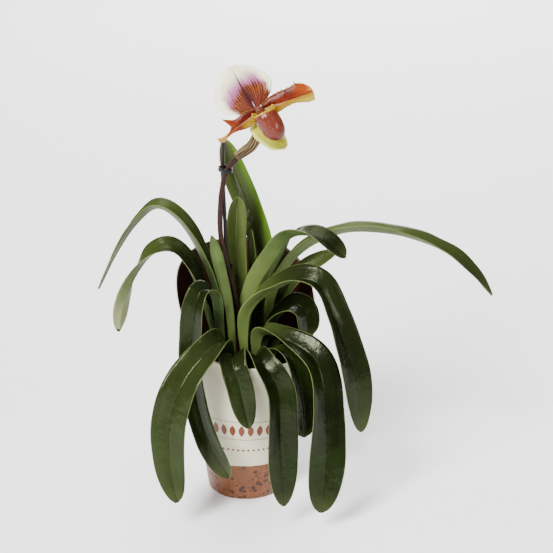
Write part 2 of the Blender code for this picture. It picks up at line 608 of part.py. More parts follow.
def loop_end(clip, points, radius, other_points):
    """Centre of a loop's round end, set so that the loop just clears the bar in it."""
    bar, direction = nearest_on(points, clip.height)
    other, _ = nearest_on(other_points, clip.height)
    inward = Vector((other.x - bar.x, other.y - bar.y, 0.0)).normalized()
    lean = abs(direction.dot(inward)) / direction.z
    reach = radius / direction.z + 0.5 * clip.band * lean + 2 * GAP
    return bar + inward * (clip.inner - reach)


def build_clips(material):
    """Flat loops that hold the stalk to the stake."""
    for clip in CLIPS:
        stake = loop_end(clip, STAKE_POINTS, STAKE_RADIUS, SCAPE_POINTS)
        stalk = loop_end(clip, SCAPE_POINTS, SCAPE_RADIUS, STAKE_POINTS)
        turn = math.atan2(stalk.y - stake.y, stalk.x - stake.x)
        mesh_data = bmesh.new()
        loops = []
        outer = clip.inner + clip.wall
        for radius, low in ((outer, 0), (outer, 1), (clip.inner, 1), (clip.inner, 0)):
            height = clip.height + clip.band * (low - 0.5)
            loop = []
            for end, start in ((stalk, turn - 0.5 * math.pi), (stake, turn + 0.5 * math.pi)):
                for number in range(CLIP_SIDES):
                    angle = start + math.pi * number / (CLIP_SIDES - 1)
                    loop.append(mesh_data.verts.new(
                        ((end.x + radius * math.cos(angle)) * MM,
                         (end.y + radius * math.sin(angle)) * MM, height * MM)))
            loops.append(loop)
        for one, two in zip(loops, loops[1:] + loops[:1]):
            for a, b, c, d in zip(one, one[1:] + one[:1], two[1:] + two[:1], two):
                mesh_data.faces.new((a, b, c, d))
        add_object(clip.name, mesh_data, material)


def flower_point(x, y, z):
    """From the flower's own frame to the plant's, in millimetres."""
    turn = (Matrix.Rotation(math.radians(90.0 - FLOWER_PITCH), 3, "X")
            @ Matrix.Rotation(math.radians(FLOWER_ROLL), 3, "Z"))
    return turn @ Vector((x, y, z)) + Vector(FLOWER_CENTRE)


def petal_placer(petal):
    """The function that puts a grid point (u across, t along) on a sepal or petal."""
    middle = curve_through(petal.middle, petal.rows)
    one_edge = curve_through(petal.one_edge, petal.rows)
    other_edge = curve_through(petal.other_edge, petal.rows)

    def place(u, t):
        row = round(t * (len(middle) - 1))
        edge = one_edge if u > 0 else other_edge
        share = abs(u)
        x, y, z = middle[row].lerp(edge[row], share)
        return flower_point(x, y, z + 4.0 * petal.bulge * share * (1.0 - share))

    return place


def build_petals(materials):
    for petal in PETALS:
        rows = petal.rows * (len(petal.middle) - 1)
        grid_object(petal.name, rows, petal.across, petal_placer(petal), PETAL_THICKNESS,
                    materials[petal.name])


def ovary_radius(t):
    return OVARY_RADIUS + OVARY_SWELL * math.sin(math.pi * t ** OVARY_PEAK)


def build_bract(material):
    """Small sheath wrapped part of the way round the ovary, one gap outside it."""
    shares = [BRACT_FROM + (BRACT_TO - BRACT_FROM) * i / BRACT_ROWS
              for i in range(BRACT_ROWS + 1)]
    path = resample(curve_through(OVARY_POINTS), shares)
    frames = frames_along(path, Vector((1.0, 0.0, 0.0)))

    def place(u, t):
        row = round(t * BRACT_ROWS)
        tangent, side = frames[row]
        wave = BRACT_NARROW[0] + (BRACT_NARROW[1] - BRACT_NARROW[0]) * t
        half = BRACT_HALF_TURN * math.sin(math.pi * wave) ** BRACT_FULLNESS
        turn = math.radians(BRACT_FACING + u * half)
        out = side * math.cos(turn) + tangent.cross(side) * math.sin(turn)
        radius = ovary_radius(shares[row]) + 2 * GAP + 0.5 * PETAL_THICKNESS
        return path[row] + out * (radius + BRACT_FLARE * (1.0 - t) ** 3 * (1.0 - u * u))

    grid_object("bract", BRACT_ROWS, BRACT_ACROSS, place, PETAL_THICKNESS, material)


def pouch_point(turn, share):
    """Point of the pouch's outside: turn round it in radians, share of the way down."""
    width = max(1.0 - share ** POUCH_FULLNESS, 0.0) ** 0.5
    width *= POUCH_NECK + (1.0 - POUCH_NECK) * smoothstep(share / POUCH_NECK_DEPTH)
    ear = 0.0
    for at in POUCH_EAR_AT:
        off = (math.degrees(turn) - at + 180.0) % 360.0 - 180.0
        ear = max(ear, 1.0 - (off / POUCH_EAR_SPREAD) ** 2)
    ear *= 1.0 - smoothstep(share / POUCH_EAR_DEPTH)
    x = POUCH_MIDDLE[0] + POUCH_DRIFT[0] * share
    z = POUCH_MIDDLE[1] + POUCH_DRIFT[1] * share
    x += (POUCH_HALF_WIDTH * width + POUCH_FLARE * ear) * math.cos(turn)
    z += POUCH_HALF_DEPTH * width * math.sin(turn)
    y = POUCH_TOP + (POUCH_BOTTOM - POUCH_TOP) * share + POUCH_EARS * ear
    return flower_point(x, y + POUCH_TILT * math.sin(turn) * (1.0 - share), z)


def build_pouch(material):
    """Slipper-shaped lip: a shell with an open top, closed at the bottom."""
    mesh_data = bmesh.new()
    rings = []
    for share in POUCH_ROWS:
        turns = [math.tau * number / POUCH_SIDES for number in range(POUCH_SIDES)]
        rings.append([mesh_data.verts.new(pouch_point(turn, share) * MM) for turn in turns])
    for upper, lower in zip(rings, rings[1:]):
        for a, b, c, d in zip(upper, upper[1:] + upper[:1], lower[1:] + lower[:1], lower):
            mesh_data.faces.new((a, b, c, d))
    foot = mesh_data.verts.new(pouch_point(0.0, 1.0) * MM)
    for a, b in zip(rings[-1], rings[-1][1:] + rings[-1][:1]):
        mesh_data.faces.new((a, b, foot))
    bmesh.ops.triangulate(mesh_data, faces=mesh_data.faces)
    pouch = add_object("pouch", mesh_data, material)
    wall = pouch.modifiers.new("wall", "SOLIDIFY")
    wall.thickness = POUCH_WALL * MM
    wall.offset = -1.0


def build_column(material):
    """Short column in the middle of the flower, with its shield in front."""
    profile = [(0.0, COLUMN_BACK), (COLUMN_RADIUS, COLUMN_BACK), (COLUMN_RADIUS, COLUMN_FRONT),
               (SHIELD_RADIUS, COLUMN_FRONT + SHIELD_EDGE),
               (SHIELD_RADIUS * SHIELD_FRONT, COLUMN_FRONT + SHIELD_DEPTH * SHIELD_FRONT),
               (0.0, COLUMN_FRONT + SHIELD_DEPTH)]
    column = turned_object("column", profile, COLUMN_SIDES, material)
    for vert in column.data.vertices:
        x, y, z = vert.co / MM
        raised = SHIELD_RAISED if z > COLUMN_FRONT + GAP else 0.0
        vert.co = flower_point(x, y + raised, z) * MM


def main():
    clear_scene()
    card = make_material("printed_card", (0.72, 0.68, 0.63), 0.45)
    pot_plastic = make_material("pot_plastic", (0.05, 0.04, 0.035), 0.55)
    bark = make_material("bark", (0.12, 0.07, 0.04), 0.9)
    leaf = make_material("leaf", (0.055, 0.11, 0.025), 0.35)
    stem = make_material("stem", (0.12, 0.04, 0.05), 0.45)
    stake = make_material("stake_plastic", (0.05, 0.025, 0.03), 0.4)
    clip = make_material("clip_plastic", (0.01, 0.01, 0.012), 0.4)
    cream = make_material("dorsal_cream", (0.85, 0.70, 0.62), 0.5)
    petal = make_material("petal_red_brown", (0.42, 0.10, 0.03), 0.35)
    lip = make_material("pouch_red_brown", (0.36, 0.09, 0.05), 0.25)
    lime = make_material("sepal_lime", (0.50, 0.52, 0.16), 0.5)
    ochre = make_material("column_ochre", (0.60, 0.42, 0.06), 0.4)
    bract = make_material("bract_green", (0.45, 0.50, 0.25), 0.55)
    build_sleeve(card)
    build_grow_pot(pot_plastic)
    build_bark_mix(bark)
    build_crown(leaf)
    build_leaves(leaf)
    tube_object("scape", SCAPE_POINTS, lambda t: SCAPE_RADIUS, TUBE_SIDES, TUBE_STEP, stem)
    tube_object("stake", STAKE_POINTS, lambda t: STAKE_RADIUS, TUBE_SIDES, TUBE_STEP, stake)
    tube_object("ovary", OVARY_POINTS, ovary_radius, OVARY_SIDES, OVARY_STEP, stem)
    build_bract(bract)
    build_clips(clip)
    build_petals({"dorsal_sepal": cream, "synsepal": lime,
                  "petal_right": petal, "petal_left": petal})
    build_pouch(lip)
    build_column(ochre)


if __name__ == "__main__":
    main()
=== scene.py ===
"""Looks of the potted slipper orchid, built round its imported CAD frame.

The add-on's operators each make one piece or group of like pieces. The plant's and the flower's
numbers are in millimetres, as in the part's source, and those of the sleeve, the grow pot, the
bark and the settings are in metres. +X is right, +Y is back and +Z is up.
"""

import math
import random
from collections import namedtuple

import bmesh
import bpy
from bpy.props import FloatProperty, FloatVectorProperty, IntProperty, PointerProperty
from mathutils import Matrix, Vector
from mathutils.noise import noise


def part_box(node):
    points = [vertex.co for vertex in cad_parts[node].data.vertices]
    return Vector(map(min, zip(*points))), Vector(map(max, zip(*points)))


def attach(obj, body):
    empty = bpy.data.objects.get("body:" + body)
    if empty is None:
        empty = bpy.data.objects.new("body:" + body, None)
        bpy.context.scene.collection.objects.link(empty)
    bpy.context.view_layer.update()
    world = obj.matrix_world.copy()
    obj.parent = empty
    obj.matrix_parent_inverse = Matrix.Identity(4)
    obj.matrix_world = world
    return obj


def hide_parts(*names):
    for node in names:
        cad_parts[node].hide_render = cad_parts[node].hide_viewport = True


bl_info = {
    "name": "Potted slipper orchid",
    "version": (1, 0, 0),
    "blender": (4, 5, 0),
    "location": "View3D > Sidebar > Orchid",
    "description": "Builds a slipper orchid in its grow pot and card sleeve",
    "category": "Add Mesh",
}

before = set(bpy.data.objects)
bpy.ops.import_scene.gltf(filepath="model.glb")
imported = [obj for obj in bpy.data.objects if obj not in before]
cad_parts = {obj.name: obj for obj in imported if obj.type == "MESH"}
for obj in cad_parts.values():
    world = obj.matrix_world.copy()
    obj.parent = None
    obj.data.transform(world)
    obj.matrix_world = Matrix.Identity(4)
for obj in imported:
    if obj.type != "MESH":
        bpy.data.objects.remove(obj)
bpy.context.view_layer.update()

MM = 0.001
GAP = 0.3                         # clearance between pieces, in millimetres
BODY = "root"
LIT_LEAF = "leaf_back_tall"       # daylight shows through one half of this leaf

# Strap leaves, with the numbers of the part's source, and how pale each one is: pale_to is the
# share of the length over which its light base fades, and tone lightens its root, middle and tip;
# that lightness is partly the leaf's own pale tone and partly a painted sky reflection
Leaf = namedtuple("Leaf", "name width tip face fold roll wave pale_to tone points")
LEAVES = (
    Leaf("leaf_left_long", 27, 0.58, 170, (60, 38, 12), (0, 0, 0), 0, 0.35, (-0.7, 0.25, 0.65),
         ((-16, 5, 115.4), (-26, 10, 200), (-48, 12, 260), (-66, 13, 289), (-86, 16, 300),
          (-107, 20, 282), (-130, 24, 247), (-149, 27, 209))),
    Leaf("leaf_left_twisted", 29, 0.6, 190, (66, 28, 12), (0, -22, 62), 0, 0.35, (-0.5, 0.05, 0.85),
         ((-20, -1, 115.4), (-36, -1, 186), (-48, -5, 228), (-59, -10, 254), (-73, -14, 268),
          (-89, -16, 264), (-106, -17, 243), (-119, -18, 213), (-125.5, -18, 181))),
    Leaf("leaf_left_hanging", 28, 0.86, 214, (66, 25, 8), (0, 0, 0), 0, 0.15, (-0.4, 0, 0.05),
         ((-20, -8, 115.4), (-27, -16, 181), (-33, -26, 226), (-41, -35, 232), (-47, -41, 217),
          (-50, -43, 183), (-50, -47, 151), (-44, -58, 112), (-33, -68, 79), (-15, -75, 46))),
    Leaf("leaf_front_left", 37, 0.6, 238, (66, 20, 8), (0, -12, -32), 2.4, 0.25, (0, 0.14, 0.1),
         ((-16, -16, 115.4), (-18, -30, 164), (-24, -47, 183), (-36, -66, 179), (-57, -80, 156),
          (-71, -89, 117), (-72.5, -97, 75), (-65.5, -103, 34))),
    Leaf("leaf_front_short", 31, 0.5, 264, (66, 34, 15), (0, 0, 0), 0.6, 0.3, (0, 0.05, 0.05),
         ((-5, -20, 115.4), (-9, -39, 160), (-11, -54, 170), (-10, -66, 164), (-4, -73, 146),
          (1, -78, 124), (5.5, -82, 105))),
    Leaf("leaf_front_right", 35, 0.58, 280, (66, 30, 10), (0, 20, 25), 0.5, 0.25, (0, -0.05, -0.05),
         ((4, -20, 115.4), (10, -39, 160), (15, -58, 171), (21, -67, 165), (28, -73, 157),
          (34, -76, 143), (36, -81, 126), (37, -88, 89), (40, -100, 28))),
    Leaf("leaf_right_broad", 38, 0.75, 296, (66, 26, 10), (0, 30, 60), 0.8, 0.42, (0.1, -0.1, -0.05),
         ((16, -11, 115.4), (16, -18, 168), (21, -26, 182), (33, -36, 184), (48, -46, 180),
          (61, -54, 175), (72, -62, 166), (78, -70, 149), (81, -82, 114), (81.5, -94, 71),
          (76.5, -106, 24))),
    Leaf("leaf_right_inner", 26, 0.8, 300, (66, 28, 15), (0, 15, 40), 0, 0.5, (0.1, -0.1, 0),
         ((15, -18, 115.4), (22, -25, 148), (29, -32, 163), (38, -40, 168), (46, -48, 165),
          (52, -55, 154), (56, -60, 136), (59, -64, 112), (60, -68, 88))),
    Leaf("leaf_right_tall_arch", 35, 0.64, 300, (62, 32, 12), (0, 56, 85), 0.6, 0.5, (0.35, 0.06, 0),
         ((6, -11, 115.4), (3, -13, 173), (6, -15, 199), (18, -19, 218), (36, -25, 232),
          (55, -31, 242.3), (73, -38, 239.5), (87, -46, 214), (99, -53, 184), (111, -61, 146),
          (117, -68, 94))),
    Leaf("leaf_right_light_arch", 31, 0.8, 335, (60, 36, 22), (0, -50, 25), 0, 0.9, (0.1, 0.38, 0),
         ((8, 0, 115.4), (6, 1, 194), (14, -1, 222), (31, -6, 254), (48, -14, 281), (66, -21, 285),
          (85, -27, 277), (100, -31, 265))),
    Leaf("leaf_right_longest", 31, 0.7, 345, (64, 33, 15), (0, -2, 30), 0, 0.45, (0.3, 0.55, 0.15),
         ((26, 16, 115.4), (27, 18, 169), (31, 16, 207), (42, 12, 235), (59, 9, 257),
          (80, 8, 270.5), (111, 9, 278), (156, 11, 273), (198, 15, 256), (230, 18, 230.5),
          (252, 22, 203.5))),
    Leaf("leaf_right_back", 22, 0.66, 35, (64, 35, 15), (0, 0, 0), 0, 0.4, (0.25, 0.35, 0.65),
         ((24, 27, 115.4), (29, 29, 161), (36, 27, 189), (46, 25, 211), (61, 24, 230),
          (79, 26, 242), (94, 28, 249))),
    Leaf("leaf_right_glossy", 30, 0.76, 300, (64, 30, 15), (0, 50, 75), 0, 0.3, (0, 0, 0),
         ((20, 5, 115.4), (23, 3, 160), (29, 0, 180), (39, -4, 196), (50, -9, 205), (59, -12, 202),
          (63, -15, 191), (64, -18, 175))),
    Leaf("leaf_right_under", 20, 0.7, 315, (64, 34, 15), (0, 0, 0), 0, 0.3, (0.3, 0.3, 0.3),
         ((28, 4, 115.4), (30, 1, 147), (35, -1, 161), (42, -4, 170), (52, -8, 170))),
    Leaf("leaf_narrow_upright", 13, 0.6, 55, (58, 40, 30), (0, 0, 0), 0, 0.6, (0, 0.05, 0.3),
         ((4, 13.5, 115.4), (10.5, 21, 192), (10.5, 25, 234), (7.5, 25, 275))),
    Leaf("leaf_behind_stalk", 22, 0.8, 97, (60, 35, 20), (0, 0, 0), 0, 0.8, (0.1, 0.5, 0.65),
         ((-4, 12, 115.4), (-5, 18, 194), (-7, 19, 231), (-8, 18, 268), (-6, 14, 313))),
    Leaf("leaf_back_tall", 29, 0.7, 90, (64, 35, 15), (0, 0, 0), 0, 0.4, (0.3, 0.38, 0.3),
         ((10, 28, 115.4), (14, 32, 184), (19, 36, 226), (16, 38, 260), (3, 42, 298),
          (-10, 48, 329), (-20, 56, 359))),
    Leaf("leaf_front_upright", 16, 0.66, 245, (60, 40, 18), (0, 0, 0), 0, 0.9, (0.1, 0.35, 0.3),
         ((-10, -12, 115.4), (-15, -14, 179), (-19, -14, 212), (-25, -12, 247), (-31, -11, 281))),
)

SCAPE_POINTS = (
    (-3, -2, 115.4), (-4, -2, 150), (-7, -1, 196), (-11, -1, 223), (-16, -2, 243), (-21, -3, 265),
    (-23, -4, 289), (-22, -4, 315), (-20, -5, 330), (-17, -6, 343), (-12, -8, 353), (-6, -11, 360),
)
STAKE_POINTS = ((-10, 12, 40), (-10, 12, 80), (-10, 12, 116), (-11, 9, 160), (-12, 6, 205),
                (-15, 4, 241), (-17.3, 3, 262), (-18.6, 1, 300), (-20, 0, 347), (-19, -1, 374))
# Flower, in its own frame: x along the petals, y up to the dorsal sepal, z to the front
FLOWER_CENTRE = (17.0, -30.0, 413.7)
FLOWER_PITCH = 16.0
FLOWER_ROLL = 25.0

# Pouch: rings from its opening down; heights are in the flower's frame
POUCH_TOP = -3.4
POUCH_TILT = 1.2                # the opening's edge is higher at the front by this much
POUCH_BOTTOM = -32.3
POUCH_MIDDLE = (3.0, 14.0)      # x and z of its middle at the opening
POUCH_DRIFT = (2.6, 1.0)        # how far x and z have moved at the bottom
POUCH_HALF_WIDTH = 11.6
POUCH_HALF_DEPTH = 12.0
POUCH_FULLNESS = 4.0            # a larger number keeps it wide further down
POUCH_NECK = 0.93               # width at the opening, as a share of the full width
POUCH_NECK_DEPTH = 0.2          # share of the way down to where it reaches the full width
POUCH_EARS = 5.0                # the opening's edge rises this far beside the column
POUCH_FLARE = 1.6
POUCH_EAR_DEPTH = 0.17          # share of the way down to the foot of the ears
POUCH_EAR_AT = (-38.0, 212.0)   # where round the opening, in degrees; the front is at 90
POUCH_EAR_SPREAD = 26.0
POUCH_CREASE_AT = 97.0          # where round the pouch its shallow front crease runs
POUCH_CREASE = 0.35
POUCH_UNEVEN = 0.35
POUCH_ROLL = 0.5                # how far the opening's edge rolls out
POUCH_RIM_SHARE = 0.14          # how far down the pouch the colour of its rim fades

# Sepals and petals: curves along the middle and along each edge, point for point alike;
# bulge is how far each half stands forward of the straight line from the middle to the edge,
# and spurs are small points on the first edge: place along it, height and width as a share.
Petal = namedtuple("Petal", "name bulge spurs middle one_edge other_edge")
PETALS = (
    Petal("dorsal_sepal", 1.2, ((0.962, 1.8, 0.009),),
          ((-2.9, 3.8, -3), (-3.7, 8.7, -4), (-4.8, 16.4, -4.8), (-5.9, 24.1, -5.2),
           (-6.6, 31.7, -5), (-7.1, 39, -4.4), (-7.2, 44.7, -3.6), (-7.1, 49.3, -2.6)),
          ((0.7, 4.3, -3), (8.9, 6.7, -4), (17.3, 13.1, -5.5), (21.5, 20.7, -7), (20, 28.7, -7.5),
           (14.6, 37.4, -6.5), (6.3, 44.5, -5), (-4.8, 49.1, -2.8)),
          ((-5.2, 2.6, -3.2), (-19.7, 5, -4.5), (-29.8, 10.2, -6.5), (-34.6, 18.3, -8),
           (-34.1, 27.9, -8.5), (-29.1, 37.5, -7.5), (-20.7, 46.5, -5.5), (-8.9, 49.7, -3))),
    Petal("synsepal", -1.0, (),
          ((0, -3.8, -3.2), (-2.9, -10.6, -4.5), (-3.8, -19.2, -4.5), (-1.9, -27.9, -3),
           (2.4, -35.6, 0), (8.7, -40.9, 3)),
          ((-2.9, -4.4, -3.2), (-16, -11.4, -3.5), (-15.8, -18.6, -3), (-12.1, -27.9, -1.5),
           (-6.3, -37.4, 1.5), (6.3, -42.7, 3.5)),
          ((2.9, -3.8, -3.2), (7.7, -8.7, -3.5), (9.6, -17.3, -3), (11.1, -26, -1), (11.7, -32.7, 1.5),
           (10.4, -40.2, 3.2))),
    Petal("petal_right", 1.3,
          ((0.716, 2.8, 0.009), (0.27, 0.9, 0.012), (0.36, 0.9, 0.012), (0.45, 1.1, 0.012),
           (0.56, 0.9, 0.012)),
          ((3.6, 1, 0.3), (11.5, 0.6, 1.5), (19.2, -0.6, 2.2), (26, -1.7, 2.5), (32.7, -2.8, 2.2),
           (39.3, -3.4, 1.6), (46, -4.3, 0.4), (53.6, -4.6, -1.4)),
          ((3.1, 4.4, 0.3), (11.6, 8.1, 0.6), (18.3, 8.9, 0.8), (25.5, 9.2, 1.2), (33.2, 8.4, 1.4),
           (40.2, 9.6, 1), (47.2, 6.6, -0.2), (52.2, 0.8, -1.6)),
          ((3.6, -5, 0.3), (10.1, -8, 1), (16.4, -8.4, 1.5), (23.6, -7.4, 1.6),
           (30.8, -7.1, 1.4), (38.4, -9, 0.8), (44.8, -11.6, -0.2), (51.8, -12.4, -1.6))),
    Petal("petal_left", 1.1, ((0.565, 0.9, 0.012),),
          ((-3.6, 0.4, 0.3), (-10.6, -1, 1.5), (-16.8, -2.4, 2.4), (-22.1, -3.5, 3),
           (-26, -4, 3.2), (-28.4, -4.7, 3.2), (-31.2, -5.8, 3), (-36.4, -7.7, 2.8),
           (-42.3, -9.8, 3.2), (-47.1, -8.9, 4.4)),
          ((-3.1, 3.8, 0.3), (-10.3, 5, 1.5), (-16.5, 5.2, 2.2), (-21.6, 3.2, 2.6),
           (-26.9, 3.1, 3.2), (-35.8, 7.7, 5), (-30.2, 0, 4), (-35, -6, 3.2),
           (-41.8, -7.6, 3.6), (-47.7, -6.7, 4.6)),
          ((-3.6, -4.8, 0.3), (-8.7, -7.7, 1), (-15.4, -9.9, 1.5), (-21.6, -9.4, 2),
           (-25.5, -8.6, 2.4), (-28.9, -8.3, 2.6), (-32.2, -8.3, 2.6), (-37.7, -9.8, 2.4),
           (-42.8, -12.1, 3), (-46.8, -11, 4.2))),
)

# Ovary behind the flower, and the small sheath that lies on it
OVARY_POINTS = ((-5.7, -11.2, 360.4), (2, -13, 367), (9.6, -15, 374.5), (15.4, -17, 387),
                (17, -19.2, 402.5), (17, -21.9, 411.4), (17, -25.8, 412.5))
OVARY_RADIUS = 2.4
OVARY_SWELL = 2.3               # its middle is thicker by this much
OVARY_PEAK = 0.8
OVARY_RIBS = 12
BRACT_FROM = 0.02               # where it starts and ends, as shares of the ovary's length
BRACT_TO = 0.6
BRACT_FACING = 150.0            # where its middle is round the ovary, degrees
BRACT_HALF_TURN = 85.0
BRACT_FLARE = 2.6               # the lower end stands off the ovary by this much
BRACT_NARROW = (0.12, 0.92)     # where along half a sine wave its two ends are, for its width
BRACT_FULLNESS = 0.7
BRACT_LIFT = 0.9                # its middle's distance from the ovary
BRACT_CREASE = 0.25
BRACT_THICKNESS = 0.6

# Blades: shares of a leaf's width and length as in the part's source, then the form that its
# solid leaves out: heights in millimetres, and how many waves a metre of blade has
LEAF_BASE_WIDTH = 0.34
LEAF_FULL_WIDTH_AT = 0.55
LEAF_TIP_WIDTH = 0.09
LEAF_TIP_BLUNT = 3.0
LEAF_TIP_ROUND = 0.52
LEAF_SECTION = 1.25             # a power that keeps the blade's middle flat
LEAF_WAVE_LENGTH = 15.0
LEAF_WAVE_LAG = 1.7
LEAF_WAVE_FROM = 3.0
EDGE_FLUTTER = 1.3
EDGE_WAVES = 38.0
BLADE_SWELL = 1.0
BLADE_WAVES = 24.0
MIDRIB_GROOVE = 0.6
MIDRIB_SHARE = 0.07             # its half width, as a share of the blade's
BLADE_EDGE = 0.5                # thickness of a blade at its edge, as a share
BLADE_CROWDING = 1.15           # a power that crowds a blade's faces towards its midrib
PETAL_ROWS = 84
PETAL_CRISP = 0.55
PETAL_RIPPLE = 0.45
PETAL_SWELL = 0.30
PETAL_GROOVE = 0.25
REACH_UNIT = 50.0               # distance from the flower's centre that counts as a reach of 1

# Sleeve, in metres, with angles in degrees unless they end in azimuth
SLEEVE_SIDES = 180
SLEEVE_ROWS = (2, 8, 60)        # rows of faces in its floor, its rounded foot and its wall
SEAM_AZIMUTH = -0.5 * math.pi
LAP_WIDTH = 0.011
LAP_INSET = 0.0005
LAP_CARD = 0.0002
LAP_EDGE_LIFT = 0.00005         # its edges stand this far off the wall, its middle LAP_BULGE more
LAP_BULGE = 0.0003
RIM_FRONT = -72.0
RIM_SHARPNESS = 1.48
RIM_SHIFT = -0.1
MAP_HEIGHT = 0.06               # height where the card's print is true to size
# Print: middle height, pitch, half width and half height of the leaf shapes and of the dots;
# heights of the thin lines; and for each size of pebble the cells in a metre, the radius as a
# share of a cell, and the scale and the threshold of the patches that hold them
PRINTED_ROWS = ((0.086, 0.0085, 0.0029, 0.0066), (0.0625, 0.0052, 0.0014, 0.0014))
PRINTED_LINES = (0.0755, 0.0965)
PRINTED_LINE_HALF = 0.0003
PEBBLES = ((105, 0.30, 30, 0.50), (190, 0.28, 52, 0.54), (380, 0.24, 75, 0.57))

# Grow pot, bark and root crown, in metres
POT_BASE_RADIUS = 0.034
POT_TOP_RADIUS = 0.050
POT_HEIGHT = 0.116
POT_WALL = 0.001
POT_LIP = 0.002
POT_LIP_HEIGHT = 0.008
DRAIN_HOLES = 6
DRAIN_RADIUS = 0.004
DRAIN_RING = 0.020
BARK_TOP = 0.110
BARK_LUMPS = ((0.011, 0.0026), (0.004, 0.0009))     # size and height of the bed's lumps
CHIP_SIZES = ((0.005, 0.011), (0.004, 0.008), (0.0018, 0.0035))
CHIP_TILT = 0.28                # usual tilt of a loose chip, in radians
RIM_CLEARANCE = 0.006           # the loose chips keep this far from the pot's wall
STAKE_CLEARANCE = 0.005
CROWN_X = 0.006
CROWN_Y = 0.003
CROWN_HALF_LENGTH = 0.034
CROWN_HALF_WIDTH = 0.025
CROWN_TURN = 40.0
CROWN_ROUND = 0.0025
CROWN_LUMPS = 0.0014

# Clips and column, in millimetres
Clip = namedtuple("Clip", "name height inner band wall")
CLIPS = (Clip("clip_upper", 347.0, 4.4, 4.2, 1.0), Clip("clip_lower", 243.0, 3.4, 2.6, 0.8))
CLIP_BEVEL = 0.22
COLUMN_RADIUS = 3.2
COLUMN_BACK = -4.0
COLUMN_FRONT = 3.0
SHIELD_RADIUS = 4.6
SHIELD_DEPTH = 2.4
SHIELD_RAISED = 0.4
HAIR_RADIUS = 0.06

# Studio: place, diameter and power of each lamp
LAMPS = (("key", (-1.1, -1.5, 1.15), 0.5, 50.0), ("fill", (1.5, -1.2, 1.0), 0.6, 14.0),
         ("top", (0.1, 0.3, 2.0), 1.4, 22.0), ("back", (0.2, 2.4, 1.45), 2.4, 100.0))
LAMP_AIM = Vector((0.03, -0.02, 0.22))
SKY_PLACE = (-0.9, -1.6, 2.2)
SKY_STRENGTH = 5.0
SKY_SPREAD = 18.0
ROOM_STRENGTH = 0.28
CAMERA_TARGET = Vector((0.03259, 0.0, 0.23302))
LEAF_SHINE = (0.92, 1.0, 0.66, 1.0)    # tint of the reflections on a leaf


def paint(code):
    """Linear colour of a six-digit sRGB code."""
    parts = [int(code[i:i + 2], 16) / 255 for i in (0, 2, 4)]
    return tuple(p / 12.92 if p <= 0.04045 else ((p + 0.055) / 1.055) ** 2.4 for p in parts)


def shaded(colour, factor):
    """A colour made darker or lighter."""
    return tuple(channel * factor for channel in colour)


def colour_property(name, description, code):
    return FloatVectorProperty(name=name, description=description, subtype="COLOR", size=3,
                               min=0.0, max=1.0, default=paint(code))


def length_property(name, description, default):
    return FloatProperty(name=name, description=description, unit="LENGTH", min=0.0,
                         precision=5, default=default)


class LeafSettings(bpy.types.PropertyGroup):
    """Sizes and colours of the strap leaves"""
    thickness: length_property("Thickness", "Thickness of a blade beside its midrib", 0.0011)
    row: length_property("Row", "Length of blade for each row of faces", 0.0035)
    across: IntProperty(name="Columns", description="Faces across a blade", default=16, min=4)
    dark: colour_property("Dark green", "Deep tone of the upper side", "070A03")
    green: colour_property("Green", "Lighter tone of the upper side", "131D06")
    base: colour_property("Base", "Light green at the foot of a blade", "556330")
    # Silver is partly the pale undersides' own tone and partly a painted sky reflection
    silver: colour_property("Silver", "Greyish tone of the pale undersides", "9A9E78")
    under: colour_property("Underside", "Light tone of the underside", "455530")
    under_dark: colour_property("Underside dark", "Deep tone of the underside", "27351D")
    lit: colour_property("Lit through", "Fresh green where daylight shows through", "4A6E14")
    margin: colour_property("Margin", "Yellow green of the thin margin", "828C50")
    tip: colour_property("Tip", "Dry brown at the very tip", "2E1E0C")


class PotSettings(bpy.types.PropertyGroup):
    """Sizes and colours of the sleeve, the grow pot and the bark"""
    base_radius: length_property("Base radius", "Outer radius of the sleeve at the floor", 0.0382)
    flare: FloatProperty(name="Flare", description="Radius gained per unit of height",
                         default=0.162)
    lean: FloatProperty(name="Lean", description="Shift to +X per unit of height", default=0.025)
    wall: length_property("Card", "Thickness of the card", 0.0009)
    foot_round: length_property("Foot", "Radius of the rounded foot edge", 0.0035)
    rim_middle: length_property("Rim", "Middle height of the slanting rim", 0.205)
    rim_swing: length_property("Rim swing", "How far the rim goes up and down", 0.048)
    band_height: length_property("Band", "Height of the printed band at the foot", 0.043)
    card: colour_property("Card", "Printed white of the sleeve", "C8C3A8")
    band: colour_property("Band", "Terracotta print at the foot", "74421F")
    pebble: colour_property("Pebbles", "Dark pebbles printed on the band", "280A04")
    ink: colour_property("Ink", "Terracotta print on the white", "6A3218")
    inside: colour_property("Inside", "Print inside the sleeve", "260A06")
    plastic: colour_property("Pot plastic", "Colour of the grow pot", "120A08")
    bark: colour_property("Bark", "Main colour of the bark chips", "2E1A0C")
    bark_light: colour_property("Bark light", "Broken faces of the bark chips", "5A3A1C")
    chips: IntProperty(name="Chips", description="Loose bark chips on top", default=190, min=0)


class StalkSettings(bpy.types.PropertyGroup):
    """Sizes and colours of the flower stalk, stake, clips and bract"""
    stalk_radius: length_property("Stalk radius", "Radius of the flower stalk", 0.0026)
    stake_radius: length_property("Stake radius", "Radius of the stake", 0.00195)
    hair: length_property("Hair", "Length of the fine hairs", 0.0007)
    hairs: IntProperty(name="Hairs", description="Hairs on stalk and ovary", default=2600, min=0)
    stalk: colour_property("Stalk", "Main colour of the stalk", "280D0E")
    stalk_green: colour_property("Stalk green", "Green that shows through on the stalk", "2C1E10")
    stake: colour_property("Stake", "Colour of the stake", "1D120F")
    clip: colour_property("Clip", "Colour of the clips", "060606")
    bract: colour_property("Bract", "Colour of the bract", "948358")
    dry: colour_property("Dry end", "Dry end of the bract", "6A5030")


